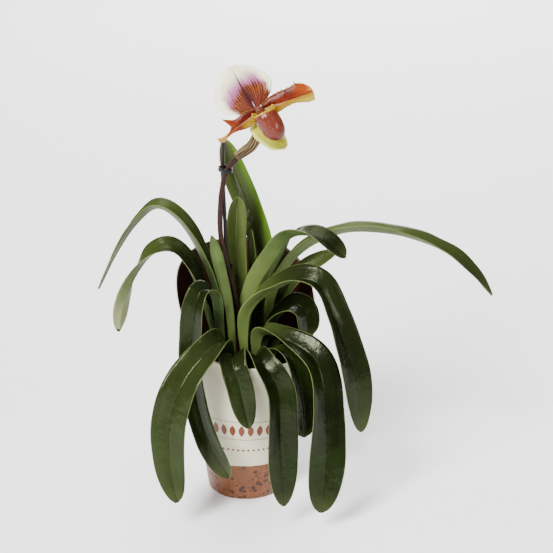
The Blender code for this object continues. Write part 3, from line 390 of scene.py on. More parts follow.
class FlowerSettings(bpy.types.PropertyGroup):
    """Sizes and colours of the flower"""
    thickness: length_property("Thickness", "Thickness of the petals", 0.0008)
    cream: colour_property("Cream", "Margin of the dorsal sepal", "F7F5D0")
    flush: colour_property("Flush", "Pink flush of the dorsal sepal", "923878")
    dorsal_ground: colour_property("Ground", "Ochre brown under the dark lines", "84480A")
    vein: colour_property("Vein", "Dark lines on the dorsal sepal", "380C02")
    vein_warm: colour_property("Spots", "Warm brown spots on the petals", "6E3606")
    mahogany: colour_property("Mahogany", "Glossy upper half of the petals", "702406")
    deep: colour_property("Deep red", "Darkest tone of the petals", "420602")
    ochre: colour_property("Ochre", "Speckled lower half of the petals", "8E7206")
    pouch: colour_property("Pouch", "Main colour of the pouch", "642719")
    pouch_deep: colour_property("Pouch deep", "Veins of the pouch", "4A160B")
    rim: colour_property("Rim", "Rim of the pouch", "A48206")
    amber: colour_property("Amber", "Orange tone of the petal tips", "8E3C08")
    tan: colour_property("Tan", "Pale tips of the petals", "B48A3C")
    maroon: colour_property("Maroon", "Heart and midline of the dorsal sepal", "340A0C")
    lime: colour_property("Lime", "Colour of the lower sepal", "AAA818")
    shield: colour_property("Shield", "Colour of the shield on the column", "5A1C12")


class StageSettings(bpy.types.PropertyGroup):
    """Floor, lights and camera"""
    floor: colour_property("Floor", "Colour of the floor", "FAFAFA")
    distance: length_property("Distance", "Camera distance from the middle of the plant", 1.7)
    elevation: FloatProperty(name="Elevation", description="Camera height angle", subtype="ANGLE",
                             default=math.radians(22))
    lens: FloatProperty(name="Lens", description="Focal length in millimetres", default=110.669)


class OrchidSettings(bpy.types.PropertyGroup):
    """All settings of the potted orchid"""
    leaf: PointerProperty(type=LeafSettings)
    pot: PointerProperty(type=PotSettings)
    stalk: PointerProperty(type=StalkSettings)
    flower: PointerProperty(type=FlowerSettings)
    stage: PointerProperty(type=StageSettings)


class Finish:
    """Builds one material from texture and math nodes."""

    def __init__(self, name, **constants):
        self.material = bpy.data.materials.new(name)
        self.material.use_nodes = True
        self.tree = self.material.node_tree
        self.shader = self.tree.nodes["Principled BSDF"]
        for key, value in constants.items():
            self.shader.inputs[key.replace("_", " ")].default_value = value
        self.object_coords = self.node("ShaderNodeTexCoord").outputs["Object"]

    def node(self, kind, **properties):
        made = self.tree.nodes.new(kind)
        for key, value in properties.items():
            setattr(made, key, value)
        return made

    def feed(self, socket, value):
        if isinstance(value, bpy.types.NodeSocket):
            self.tree.links.new(value, socket)
        elif socket.type == "RGBA":
            socket.default_value = (*value, 1.0)
        else:
            socket.default_value = value

    def math(self, operation, *values, clamp=False):
        made = self.node("ShaderNodeMath", operation=operation, use_clamp=clamp)
        for socket, value in zip(made.inputs, values):
            self.feed(socket, value)
        return made.outputs[0]

    def times(self, *values):
        total = values[0]
        for value in values[1:]:
            total = self.math("MULTIPLY", total, value)
        return total

    def add(self, *parts):
        """Sum of the parts, where a pair is a value and its weight."""
        terms = [self.times(*part) if isinstance(part, tuple) else part for part in parts]
        total = terms[0]
        for term in terms[1:]:
            total = self.math("ADD", total, term)
        return total

    def swing(self, noise, amount):
        """A noise made into a push of either sign."""
        return self.times(self.math("SUBTRACT", noise, 0.5), amount)

    def between(self, value, low, high, bottom=0.0, top=1.0):
        """Smooth step of a value from low to high."""
        made = self.node("ShaderNodeMapRange", interpolation_type="SMOOTHSTEP")
        for socket, number in zip(made.inputs, (value, low, high, bottom, top)):
            self.feed(socket, number)
        return made.outputs[0]

    def mix(self, factor, first, second):
        made = self.node("ShaderNodeMix", data_type="RGBA")
        self.feed(made.inputs["Factor"], factor)
        self.feed(made.inputs[6], first)
        self.feed(made.inputs[7], second)
        return made.outputs[2]

    def over(self, ground, colour, mask, share=1.0):
        """The ground with a colour laid over it where the mask is, at a share of full strength."""
        return self.mix(mask if share == 1.0 else self.times(mask, share), ground, colour)

    def noise(self, scale, detail, vector=None, roughness=0.55):
        made = self.node("ShaderNodeTexNoise")
        self.feed(made.inputs["Vector"], vector or self.object_coords)
        self.feed(made.inputs["Scale"], scale)
        self.feed(made.inputs["Detail"], detail)
        self.feed(made.inputs["Roughness"], roughness)
        return made.outputs["Fac"]

    def map_noise(self, across, along, detail, roughness=0.55):
        """A noise on the piece's own map; across and along are a coordinate and its scale."""
        place = self.vector(self.times(*across), self.times(*along))
        return self.noise(1.0, detail, place, roughness)

    def cells(self, scale, outer, inner, vector=None, feature="F1", dimensions="3D"):
        """Marks in a pattern of cells: none past the outer distance, full within the inner."""
        made = self.node("ShaderNodeTexVoronoi", feature=feature, voronoi_dimensions=dimensions)
        self.feed(made.inputs["Vector"], vector or self.object_coords)
        self.feed(made.inputs["Scale"], scale)
        return self.between(made.outputs["Distance"], outer, inner)

    def vector(self, x, y):
        made = self.node("ShaderNodeCombineXYZ")
        self.feed(made.inputs[0], x)
        self.feed(made.inputs[1], y)
        return made.outputs[0]

    def surface_map(self, name="blade"):
        """The piece's own map: x across and y along, both from 0 to 1."""
        split = self.node("ShaderNodeSeparateXYZ")
        self.feed(split.inputs[0], self.node("ShaderNodeUVMap", uv_map=name).outputs[0])
        return split.outputs[0], split.outputs[1]

    def from_middle(self, x):
        """Place across a blade from -1 to 1, and its distance from the midline."""
        across = self.math("MULTIPLY_ADD", x, 2.0, -1.0)
        return across, self.math("ABSOLUTE", across)

    def attribute(self, name):
        return self.node("ShaderNodeAttribute", attribute_name=name).outputs["Fac"]

    def bump(self, height, distance, strength):
        made = self.node("ShaderNodeBump")
        self.feed(made.inputs["Height"], height)
        self.feed(made.inputs["Distance"], distance)
        self.feed(made.inputs["Strength"], strength)
        return made.outputs[0]

    def done(self, colour, roughness, normal=None):
        self.feed(self.shader.inputs["Base Color"], colour)
        self.feed(self.shader.inputs["Roughness"], roughness)
        if normal is not None:
            self.feed(self.shader.inputs["Normal"], normal)
        return self.material


def leaf_upper_finish(s):
    """Waxy dark green: fine lengthwise lines, a sunken midrib, a thin pale margin and specks."""
    f = Finish("leaf_upper", Specular_IOR_Level=0.19, Specular_Tint=LEAF_SHINE)
    x, y = f.surface_map()
    _, side = f.from_middle(x)
    broad = f.noise(15, 3)
    fine = f.noise(520, 4)
    cloud = f.noise(90, 3)
    lines = f.map_noise((x, 60.0), (y, 2.5), 4, 0.65)
    wrinkles = f.map_noise((x, 4.0), (y, 30.0), 3, 0.6)
    tone = f.add((broad, 0.8), (cloud, 0.1), (lines, 0.12))
    colour = f.mix(f.between(tone, 0.36, 0.68), s.dark, s.green)
    # Light base of the blade; where a leaf's tone is high it is partly a painted sky reflection
    pale = f.math("ADD", f.attribute("pale"), f.swing(lines, 0.2), clamp=True)
    colour = f.over(colour, s.base, pale, 0.85)
    # Midrib line: painted shade along the groove on dark leaves; on pale leaves the silver tone,
    # partly a painted sky reflection
    rib = f.mix(f.between(pale, 0.4, 0.6), s.dark, s.silver)
    colour = f.over(colour, rib, f.between(side, 0.05, 0.012), 0.6)
    colour = f.over(colour, s.dark, f.attribute("shade"), 0.6)
    colour = f.over(colour, s.lit, f.attribute("lit"))
    specks = f.times(f.cells(230, 0.12, 0.07), f.between(cloud, 0.55, 0.66))
    colour = f.over(colour, s.base, specks, 0.16)
    colour = f.over(colour, s.margin, f.between(y, 0.92, 1.0), 0.07)
    edge = f.between(f.add(side, (fine, 0.02)), 0.978, 0.996)
    colour = f.over(colour, s.margin, edge, 0.34)
    end = f.between(f.add(y, (fine, 0.012)), 0.997, 1.003)
    colour = f.over(colour, s.tip, f.times(end, f.between(side, 0.3, 0.1)))
    roughness = f.add(0.13, (broad, 0.14), (lines, 0.03), (specks, 0.15))
    relief = f.add((lines, 0.22), (wrinkles, 1.6), (fine, 0.12), (cloud, 0.9))
    return f.done(colour, roughness, f.bump(relief, 0.0006, 0.6))


def leaf_under_finish(s):
    """Duller olive green with clearer veins and a raised midrib line."""
    f = Finish("leaf_under", Specular_IOR_Level=0.13, Specular_Tint=LEAF_SHINE)
    x, y = f.surface_map()
    _, side = f.from_middle(x)
    broad = f.noise(45, 3)
    fine = f.noise(500, 4)
    veins = f.map_noise((x, 60.0), (y, 4.0), 3, 0.6)
    tone = f.add((broad, 0.6), (veins, 0.35))
    colour = f.mix(f.between(tone, 0.36, 0.62), s.under_dark, s.under)
    # Pale base that turns silver where the tone is high: partly the underside's own tone, partly a
    # painted sky reflection
    pale_and_sheen = f.mix(f.attribute("silver"), s.base, s.silver)
    colour = f.over(colour, pale_and_sheen, f.attribute("pale"), 0.8)
    colour = f.over(colour, s.base, f.between(side, 0.07, 0.02), 0.4)
    colour = f.over(colour, s.margin, f.between(side, 0.965, 0.99), 0.5)
    colour = f.over(colour, s.tip, f.between(f.add(y, (fine, 0.012)), 0.990, 1.0))
    relief = f.add((veins, 0.5), (fine, 0.3), broad)
    return f.done(colour, f.add(0.36, (broad, 0.2)), f.bump(relief, 0.0006, 0.6))


def smoothstep(value):
    value = min(max(value, 0.0), 1.0)
    return value * value * (3.0 - 2.0 * value)


def three_way(values, t):
    """Blends smoothly from the first value through the second to the third."""
    first, middle, last = values
    if t < 0.5:
        return first + (middle - first) * smoothstep(2.0 * t)
    return middle + (last - middle) * smoothstep(2.0 * t - 1.0)


def curve_through(points, spans=24):
    """Points on a centripetal Catmull-Rom curve through the given ones."""
    given = [Vector(p) for p in points]
    ends = [2 * given[0] - given[1]] + given + [2 * given[-1] - given[-2]]
    fine = []
    for a, b, c, d in zip(ends, ends[1:], ends[2:], ends[3:]):
        t1 = (b - a).length ** 0.5
        t2 = t1 + (c - b).length ** 0.5
        t3 = t2 + (d - c).length ** 0.5
        for step in range(spans):
            t = t1 + (t2 - t1) * step / spans
            ab = a.lerp(b, t / t1)
            bc = b.lerp(c, (t - t1) / (t2 - t1))
            cd = c.lerp(d, (t - t2) / (t3 - t2))
            abc = ab.lerp(bc, t / t2)
            bcd = bc.lerp(cd, (t - t1) / (t3 - t1))
            fine.append(abc.lerp(bcd, (t - t1) / (t2 - t1)))
    return fine + [given[-1]]


def resample(fine, fractions):
    """Points of a polyline at the given fractions of its length."""
    lengths = [0.0]
    for a, b in zip(fine, fine[1:]):
        lengths.append(lengths[-1] + (b - a).length)
    picked = []
    index = 0
    for fraction in fractions:
        goal = fraction * lengths[-1]
        while index < len(fine) - 2 and lengths[index + 1] < goal:
            index += 1
        step = (goal - lengths[index]) / (lengths[index + 1] - lengths[index])
        picked.append(fine[index].lerp(fine[index + 1], step))
    return picked


def length_of(points):
    return sum((b - a).length for a, b in zip(points, points[1:]))


def frames_along(points, side=(1.0, 0.0, 0.0)):
    """Tangent and side direction at each point, turned as little as possible on the way."""
    side = Vector(side)
    tangents = []
    for i in range(len(points)):
        before = points[max(i - 1, 0)]
        after = points[min(i + 1, len(points) - 1)]
        tangents.append((after - before).normalized())
    side = (side - side.dot(tangents[0]) * tangents[0]).normalized()
    frames = [(tangents[0], side)]
    for i in range(1, len(points)):
        side = tangents[i - 1].rotation_difference(tangents[i]) @ side
        side = (side - side.dot(tangents[i]) * tangents[i]).normalized()
        frames.append((tangents[i], side))
    return frames


def blade_placer(points, side, rows, section):
    """The function that puts a grid point (u across, t along) on a blade round a curve.

    section(u, along) gives the distance sideways, the lift from the curve and the roll.
    """
    shares = [i / rows for i in range(rows + 1)]
    spine = resample(curve_through(points), shares)
    frames = frames_along(spine, side)

    def place(u, t):
        row = min(int(round(t * rows)), rows)
        tangent, across = frames[row]
        out, lift, roll = section(u, shares[row])
        across = Matrix.Rotation(math.radians(roll), 3, tangent) @ across
        return spine[row] + across * out + tangent.cross(across) * lift

    return place


def new_grid(columns, rows):
    """A flat grid from -1 to 1 both ways."""
    mesh_data = bmesh.new()
    bmesh.ops.create_grid(mesh_data, x_segments=columns, y_segments=rows, size=1.0)
    return mesh_data


def grid_shares(x, y):
    """A grid point as shares across and along."""
    return 0.5 * (x + 1.0), 0.5 * (y + 1.0)


def chart(mesh_data, name, place):
    """Gives a grid its own map: place(x, y) says where a grid point lies on it."""
    layer = mesh_data.loops.layers.uv.new(name)
    for face in mesh_data.faces:
        for loop in face.loops:
            loop[layer].uv = place(loop.vert.co.x, loop.vert.co.y)


def close_up(mesh_data, capped=False):
    """Merges points that meet, fills open ends where asked and turns the faces outwards."""
    bmesh.ops.remove_doubles(mesh_data, verts=mesh_data.verts, dist=1e-6)
    if capped:
        ends = [edge for edge in mesh_data.edges if edge.is_boundary]
        bmesh.ops.holes_fill(mesh_data, edges=ends, sides=0)
    bmesh.ops.recalc_face_normals(mesh_data, faces=mesh_data.faces)


def finished_object(name, mesh_data, materials, smooth=True, sharp=50):
    """Turns a bmesh, in metres at its place, into an object with its materials."""
    mesh = bpy.data.meshes.new(name)
    mesh_data.to_mesh(mesh)
    mesh_data.free()
    for material in materials:
        mesh.materials.append(material)
    if smooth:
        mesh.shade_smooth()
        mesh.set_sharp_from_angle(angle=math.radians(sharp))
    obj = bpy.data.objects.new(name, mesh)
    bpy.context.scene.collection.objects.link(obj)
    return obj


def hand_over(obj, slot, *nodes):
    """Puts a piece on the body and hides the CAD nodes that it stands for."""
    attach(obj, BODY)
    if nodes:
        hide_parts(*nodes)


def thicken(obj, thickness, offset=-1.0, inside=0, rim=0):
    """Gives a sheet its wall; inside and rim say how far on those faces' materials are."""
    wall = obj.modifiers.new("wall", "SOLIDIFY")
    wall.thickness = thickness
    wall.offset = offset
    wall.material_offset = inside
    wall.material_offset_rim = rim
    return wall


def blade_object(name, rows, across, place, thickness, materials,
                 values=lambda u, t: {}):
    """A blade from a grid: its thickness tapers to the margin, and it carries its own map.

    values(u, t) gives the numbers of the point attributes by their names.
    """
    mesh_data = new_grid(across, rows)
    bmesh.ops.reverse_faces(mesh_data, faces=mesh_data.faces)
    chart(mesh_data, "blade", grid_shares)
    weights = mesh_data.verts.layers.deform.verify()
    layers = {key: mesh_data.verts.layers.float.new(key) for key in values(0.0, 0.0)}
    for vert in mesh_data.verts:
        u, t = vert.co.x, 0.5 * (vert.co.y + 1.0)
        vert[weights][0] = 1.0 - (1.0 - BLADE_EDGE) * abs(u) ** 3
        for key, number in values(u, t).items():
            vert[layers[key]] = number
        vert.co = place(math.copysign(abs(u) ** BLADE_CROWDING, u), t) * MM
    obj = finished_object(name, mesh_data, materials, sharp=80)
    obj.vertex_groups.new(name="thickness")
    thicken(obj, thickness, offset=0.0, inside=1).vertex_group = "thickness"
    return obj


def tube_object(name, points, radius_at, sides, step, materials):
    """A round bar along a smooth curve, with closed ends."""
    fine = curve_through(points)
    count = max(6, round(length_of(fine) / step))
    shares = [i / count for i in range(count + 1)]
    path = resample(fine, shares)
    frames = frames_along(path)
    mesh_data = new_grid(sides, count)
    chart(mesh_data, "blade", grid_shares)
    for vert in mesh_data.verts:
        turn = math.pi * (vert.co.x + 1.0)
        station = round(0.5 * (vert.co.y + 1.0) * count)
        tangent, side = frames[station]
        around = side * math.cos(turn) + tangent.cross(side) * math.sin(turn)
        vert.co = (path[station] + around * radius_at(shares[station])) * MM
    close_up(mesh_data, capped=True)
    return finished_object(name, mesh_data, materials)


def turned_shape(profile, sides):
    """Spins a closed (radius, height) profile about the Z axis."""
    mesh_data = bmesh.new()
    verts = [mesh_data.verts.new((r, 0.0, z)) for r, z in profile]
    edges = [mesh_data.edges.new(pair) for pair in zip(verts, verts[1:])]
    bmesh.ops.spin(mesh_data, geom=verts + edges, cent=(0, 0, 0), axis=(0, 0, 1),
                   angle=math.tau, steps=sides, use_merge=True)
    close_up(mesh_data)
    return mesh_data


class ORCHID_OT_leaves(bpy.types.Operator):
    """Build the strap leaves"""
    bl_idname = "slipper_orchid.leaves"
    bl_label = "Leaves"

    def execute(self, context):
        s = context.scene.slipper_orchid.leaf
        finishes = (leaf_upper_finish(s), leaf_under_finish(s))
        for leaf in LEAVES:
            self.blade(leaf, s, finishes)
        return {"FINISHED"}

    def blade(self, leaf, s, finishes):
        length = length_of(curve_through(leaf.points)) * MM
        rows = round(length / s.row)
        face = math.radians(leaf.face)
        seed = sum(leaf.points[-1]) * 0.37

        def share(t):
            wide = LEAF_BASE_WIDTH + (1.0 - LEAF_BASE_WIDTH) * smoothstep(t / LEAF_FULL_WIDTH_AT)
            if t > leaf.tip:
                past = (t - leaf.tip) / (1.0 - leaf.tip)
                wide *= max(1.0 - past ** LEAF_TIP_BLUNT, 0.0) ** LEAF_TIP_ROUND
            return max(wide, LEAF_TIP_WIDTH)

        def section(u, along):
            half = 0.5 * leaf.width * share(along)
            fold = math.radians(three_way(leaf.fold, along))
            rising = smoothstep(along * LEAF_WAVE_FROM)
            wave = leaf.wave * math.sin(along * LEAF_WAVE_LENGTH + u * LEAF_WAVE_LAG)
            flutter = EDGE_FLUTTER * noise(Vector((along * length * EDGE_WAVES, u, seed)))
            swell = BLADE_SWELL * noise(Vector((along * length * BLADE_WAVES, 1.4 * u, seed + 9)))
            lift = abs(u) ** LEAF_SECTION * half * math.sin(fold)
            lift += rising * ((wave + flutter) * u * u + swell)
            lift -= MIDRIB_GROOVE * math.exp(-(u / MIDRIB_SHARE) ** 2)
            return u * half * math.cos(fold), lift, three_way(leaf.roll, along)

        def values(u, t):
            tone = three_way(leaf.tone, t)
            pale = 1.0 - smoothstep(t / leaf.pale_to) + tone
            through = 1.0 if leaf.name == LIT_LEAF else 0.0
            # pale and silver are partly the leaf's own pale tone and partly a painted sky reflection;
            # silver rises where the tone is high
            return {"pale": min(max(pale, 0.0), 1.0), "silver": max(2.0 * tone - 0.9, 0.0),
                    "lit": through * (0.9 - 0.4 * t) * smoothstep(-1.8 * u - 0.7),
                    "shade": through * (1.0 - smoothstep(2.2 * abs(u - 0.25)))}

        side = (-math.sin(face), math.cos(face), 0.0)
        place = blade_placer(leaf.points, side, rows, section)
        blade = blade_object(leaf.name.replace("leaf", "blade", 1), rows, s.across, place,
                             s.thickness, finishes, values)
        hand_over(blade, "leaf", leaf.name)


def unrolled_radius(s):
    """Radius of the sleeve where the card's print is true to size."""
    return s.base_radius + s.flare * MAP_HEIGHT


def sprig_print(f, s, around, height):
    """Where the white is printed with a plain band of leaf shapes, dots and thin lines."""
    x = f.math("SUBTRACT", around, SEAM_AZIMUTH * unrolled_radius(s))
    masks = []
    for middle, pitch, half_width, half_height in PRINTED_ROWS:
        share = f.math("SUBTRACT", f.math("FRACT", f.times(x, 1.0 / pitch)), 0.5)
        across = f.times(f.math("ABSOLUTE", share), pitch / half_width)
        up = f.times(f.math("SUBTRACT", height, middle), 1.0 / half_height)
        masks.append(f.between(f.add(across, (up, up)), 1.05, 0.95))
    for middle in PRINTED_LINES:
        off = f.math("ABSOLUTE", f.math("SUBTRACT", height, middle))
        masks.append(f.between(off, PRINTED_LINE_HALF + 0.0001, PRINTED_LINE_HALF - 0.0001))
    shown = masks[0]
    for mask in masks[1:]:
        shown = f.math("MAXIMUM", shown, mask)
    return shown


def card_finish(s):
    """Printed card: white with a row of leaf shapes, and a terracotta foot with dark pebbles."""
    f = Finish("printed_card", Specular_IOR_Level=0.4)
    around, height = f.surface_map("wrap")
    fine = f.noise(900, 3)
    soft = f.noise(30, 3)
    colour = f.over(s.card, (0.62, 0.58, 0.52), fine, 0.10)
    spread = f.vector(around, height)
    limit = f.math("MULTIPLY_ADD", f.noise(26, 2, spread), 0.003, s.band_height - 0.0015)
    band = f.between(f.math("SUBTRACT", limit, height), -0.0002, 0.0002)
    clay = f.mix(f.between(f.noise(110, 5, spread), 0.35, 0.7), s.band, shaded(s.band, 0.82))
    colour = f.over(colour, clay, band)
    warp = f.times(f.noise(260, 2, spread), 0.004)
    bent = f.vector(f.add(around, warp), f.add((height, 1.35), warp))
    for scale, size, patch, rare in PEBBLES:
        stones = f.cells(scale, size, size - 0.03, bent, dimensions="2D")
        here = f.between(f.noise(patch, 1, spread), rare, rare + 0.02)
        colour = f.over(colour, s.pebble, f.times(stones, here, band), 0.85)
    colour = f.over(colour, s.ink, sprig_print(f, s, around, height))
    colour = f.over(colour, (0.6, 0.22, 0.06), f.between(height, 0.0012, 0.0004), 0.7)
    relief = f.add((fine, 0.4), (soft, 0.8))
    return f.done(colour, f.add(0.36, (fine, 0.1), (soft, 0.08)), f.bump(relief, 0.0002, 0.5))


def inside_finish(s):
    """Dark print on the inside of the card, scuffed in fine specks."""
    f = Finish("card_inside", Specular_IOR_Level=0.35)
    fine = f.noise(700, 4)
    colour = f.over(s.inside, shaded(s.inside, 1.8), f.noise(25, 3), 0.7)
    colour = f.over(colour, (0.12, 0.08, 0.06), f.between(fine, 0.55, 0.75), 0.15)
    return f.done(colour, f.add(0.42, (fine, 0.12)), f.bump(fine, 0.0001, 0.5))


def card_edge_finish():
    """Bare fibres where the card is cut."""
    f = Finish("card_edge")
    fibres = f.noise(1500, 3)
    colour = f.mix(fibres, (0.55, 0.50, 0.43), (0.75, 0.71, 0.64))
    return f.done(colour, 0.8, f.bump(fibres, 0.0001, 0.6))


def rim_height(s, azimuth):
    """Height of the sleeve's slanting top edge at an azimuth in radians."""
    front = math.cos(azimuth - math.radians(RIM_FRONT))
    return s.rim_middle - s.rim_swing * math.tanh(RIM_SHARPNESS * (front - RIM_SHIFT))


def sleeve_radius(s, height):
    radius = s.base_radius + s.flare * height
    if height < s.foot_round:
        short = 1.0 - height / s.foot_round
        radius -= s.foot_round * (1.0 - math.sqrt(max(1.0 - short * short, 0.0)))
    return radius


def on_sleeve(s, azimuth, height, proud=0.0):
    radius = sleeve_radius(s, height) + proud
    return Vector((s.lean * height + radius * math.cos(azimuth), radius * math.sin(azimuth),
                   height))


class ORCHID_OT_sleeve(bpy.types.Operator):
    """Build the printed card sleeve with its glued lap"""
    bl_idname = "slipper_orchid.sleeve"
    bl_label = "Card sleeve"

    def execute(self, context):
        s = context.scene.slipper_orchid.pot
        finishes = (card_finish(s), inside_finish(s), card_edge_finish())
        self.cup(s, finishes)
        self.lap(s, finishes)
        return {"FINISHED"}

    def card(self, name, mesh_data, station, s, finishes):
        """Puts a grid on the sleeve's cone, with a map of the unrolled sheet.

        station(x, y) gives a grid point's azimuth and height, its share of the radius there,
        and how far it stands proud.
        """
        def unrolled(x, y):
            azimuth, height, _, _ = station(x, y)
            return azimuth * unrolled_radius(s), height

        chart(mesh_data, "wrap", unrolled)
        for vert in mesh_data.verts:
            azimuth, height, reach, proud = station(vert.co.x, vert.co.y)
            point = on_sleeve(s, azimuth, height, proud)
            vert.co = (point.x * reach, point.y * reach, point.z)
        close_up(mesh_data)
        return finished_object(name, mesh_data, finishes)

    def cup(self, s, finishes):
        floor_rows, foot_rows, wall_rows = SLEEVE_ROWS
        wall_from = floor_rows + foot_rows
        rows = wall_from + wall_rows

        def station(x, y):
            azimuth = math.pi * x + SEAM_AZIMUTH
            row = round(0.5 * (y + 1.0) * rows)
            if row < floor_rows:
                return azimuth, 0.0, row / floor_rows, 0.0
            turn = 0.5 * math.pi * min(row - floor_rows, foot_rows) / foot_rows
            height = s.foot_round * (1.0 - math.cos(turn))
            if row > wall_from:
                height += (rim_height(s, azimuth) - height) * (row - wall_from) / wall_rows
            return azimuth, height, 1.0, 0.0

        cup = self.card("card_sleeve", new_grid(SLEEVE_SIDES, rows), station, s, finishes)
        thicken(cup, s.wall, inside=1, rim=2)
        hand_over(cup, "printed_card", "sleeve")

    def lap(self, s, finishes):
        """The sheet's other edge, glued over the wall at the back."""
        half = 0.5 * LAP_WIDTH / s.base_radius

        def station(x, y):
            azimuth = SEAM_AZIMUTH + math.pi + half * x
            low = s.foot_round + LAP_INSET
            height = low + (rim_height(s, azimuth) - LAP_INSET - low) * 0.5 * (y + 1.0)
            bulge = smoothstep((1.0 - abs(x)) * 5.0)
            return azimuth, height, 1.0, LAP_EDGE_LIFT + LAP_BULGE * bulge

        lap = self.card("sleeve_lap", new_grid(10, 40), station, s, finishes)
        thicken(lap, LAP_CARD, offset=1.0)
        hand_over(lap, "printed_card")


def pot_finish(s):
    """Dark plastic with a little dust."""
    f = Finish("pot_plastic", Specular_IOR_Level=0.4)
    dust = f.between(f.noise(60, 5), 0.5, 0.75)
    colour = f.over(s.plastic, (0.12, 0.09, 0.06), dust, 0.25)
    return f.done(colour, f.add(0.4, (dust, 0.25)), f.bump(f.noise(600, 4), 0.0002, 0.4))


def bark_finish(s, name, light):
    """Layered bark: long fibres, darker cracks and light broken faces."""
    f = Finish(name, Specular_IOR_Level=0.25)
    stretch = f.node("ShaderNodeMapping")
    f.feed(stretch.inputs["Vector"], f.object_coords)
    stretch.inputs["Scale"].default_value = (1.0, 2.2, 3.0)
    fibres = f.noise(420, 6, stretch.outputs[0], 0.7)
    patches = f.noise(90, 3)
    colour = f.mix(f.between(fibres, 0.3, 0.75), shaded(s.bark, 0.45), s.bark)
    colour = f.over(colour, s.bark_light, f.between(patches, 0.45, 0.65), light)
    relief = f.add(fibres, (patches, 0.7))
    return f.done(colour, f.add(0.75, (fibres, 0.2)), f.bump(relief, 0.0012, 0.9))


def crown_finish(s, green):
    """Fibrous bark-brown crown, green in patches."""
    f = Finish("root_crown", Specular_IOR_Level=0.3)
    fibres = f.noise(300, 5)
    patches = f.noise(120, 3)
    colour = f.mix(f.between(patches, 0.4, 0.6), s.bark, shaded(green, 0.7))
    colour = f.over(colour, (0.06, 0.035, 0.02), f.between(fibres, 0.5, 0.7))
    return f.done(colour, 0.7, f.bump(f.add(fibres, patches), 0.0008, 0.8))


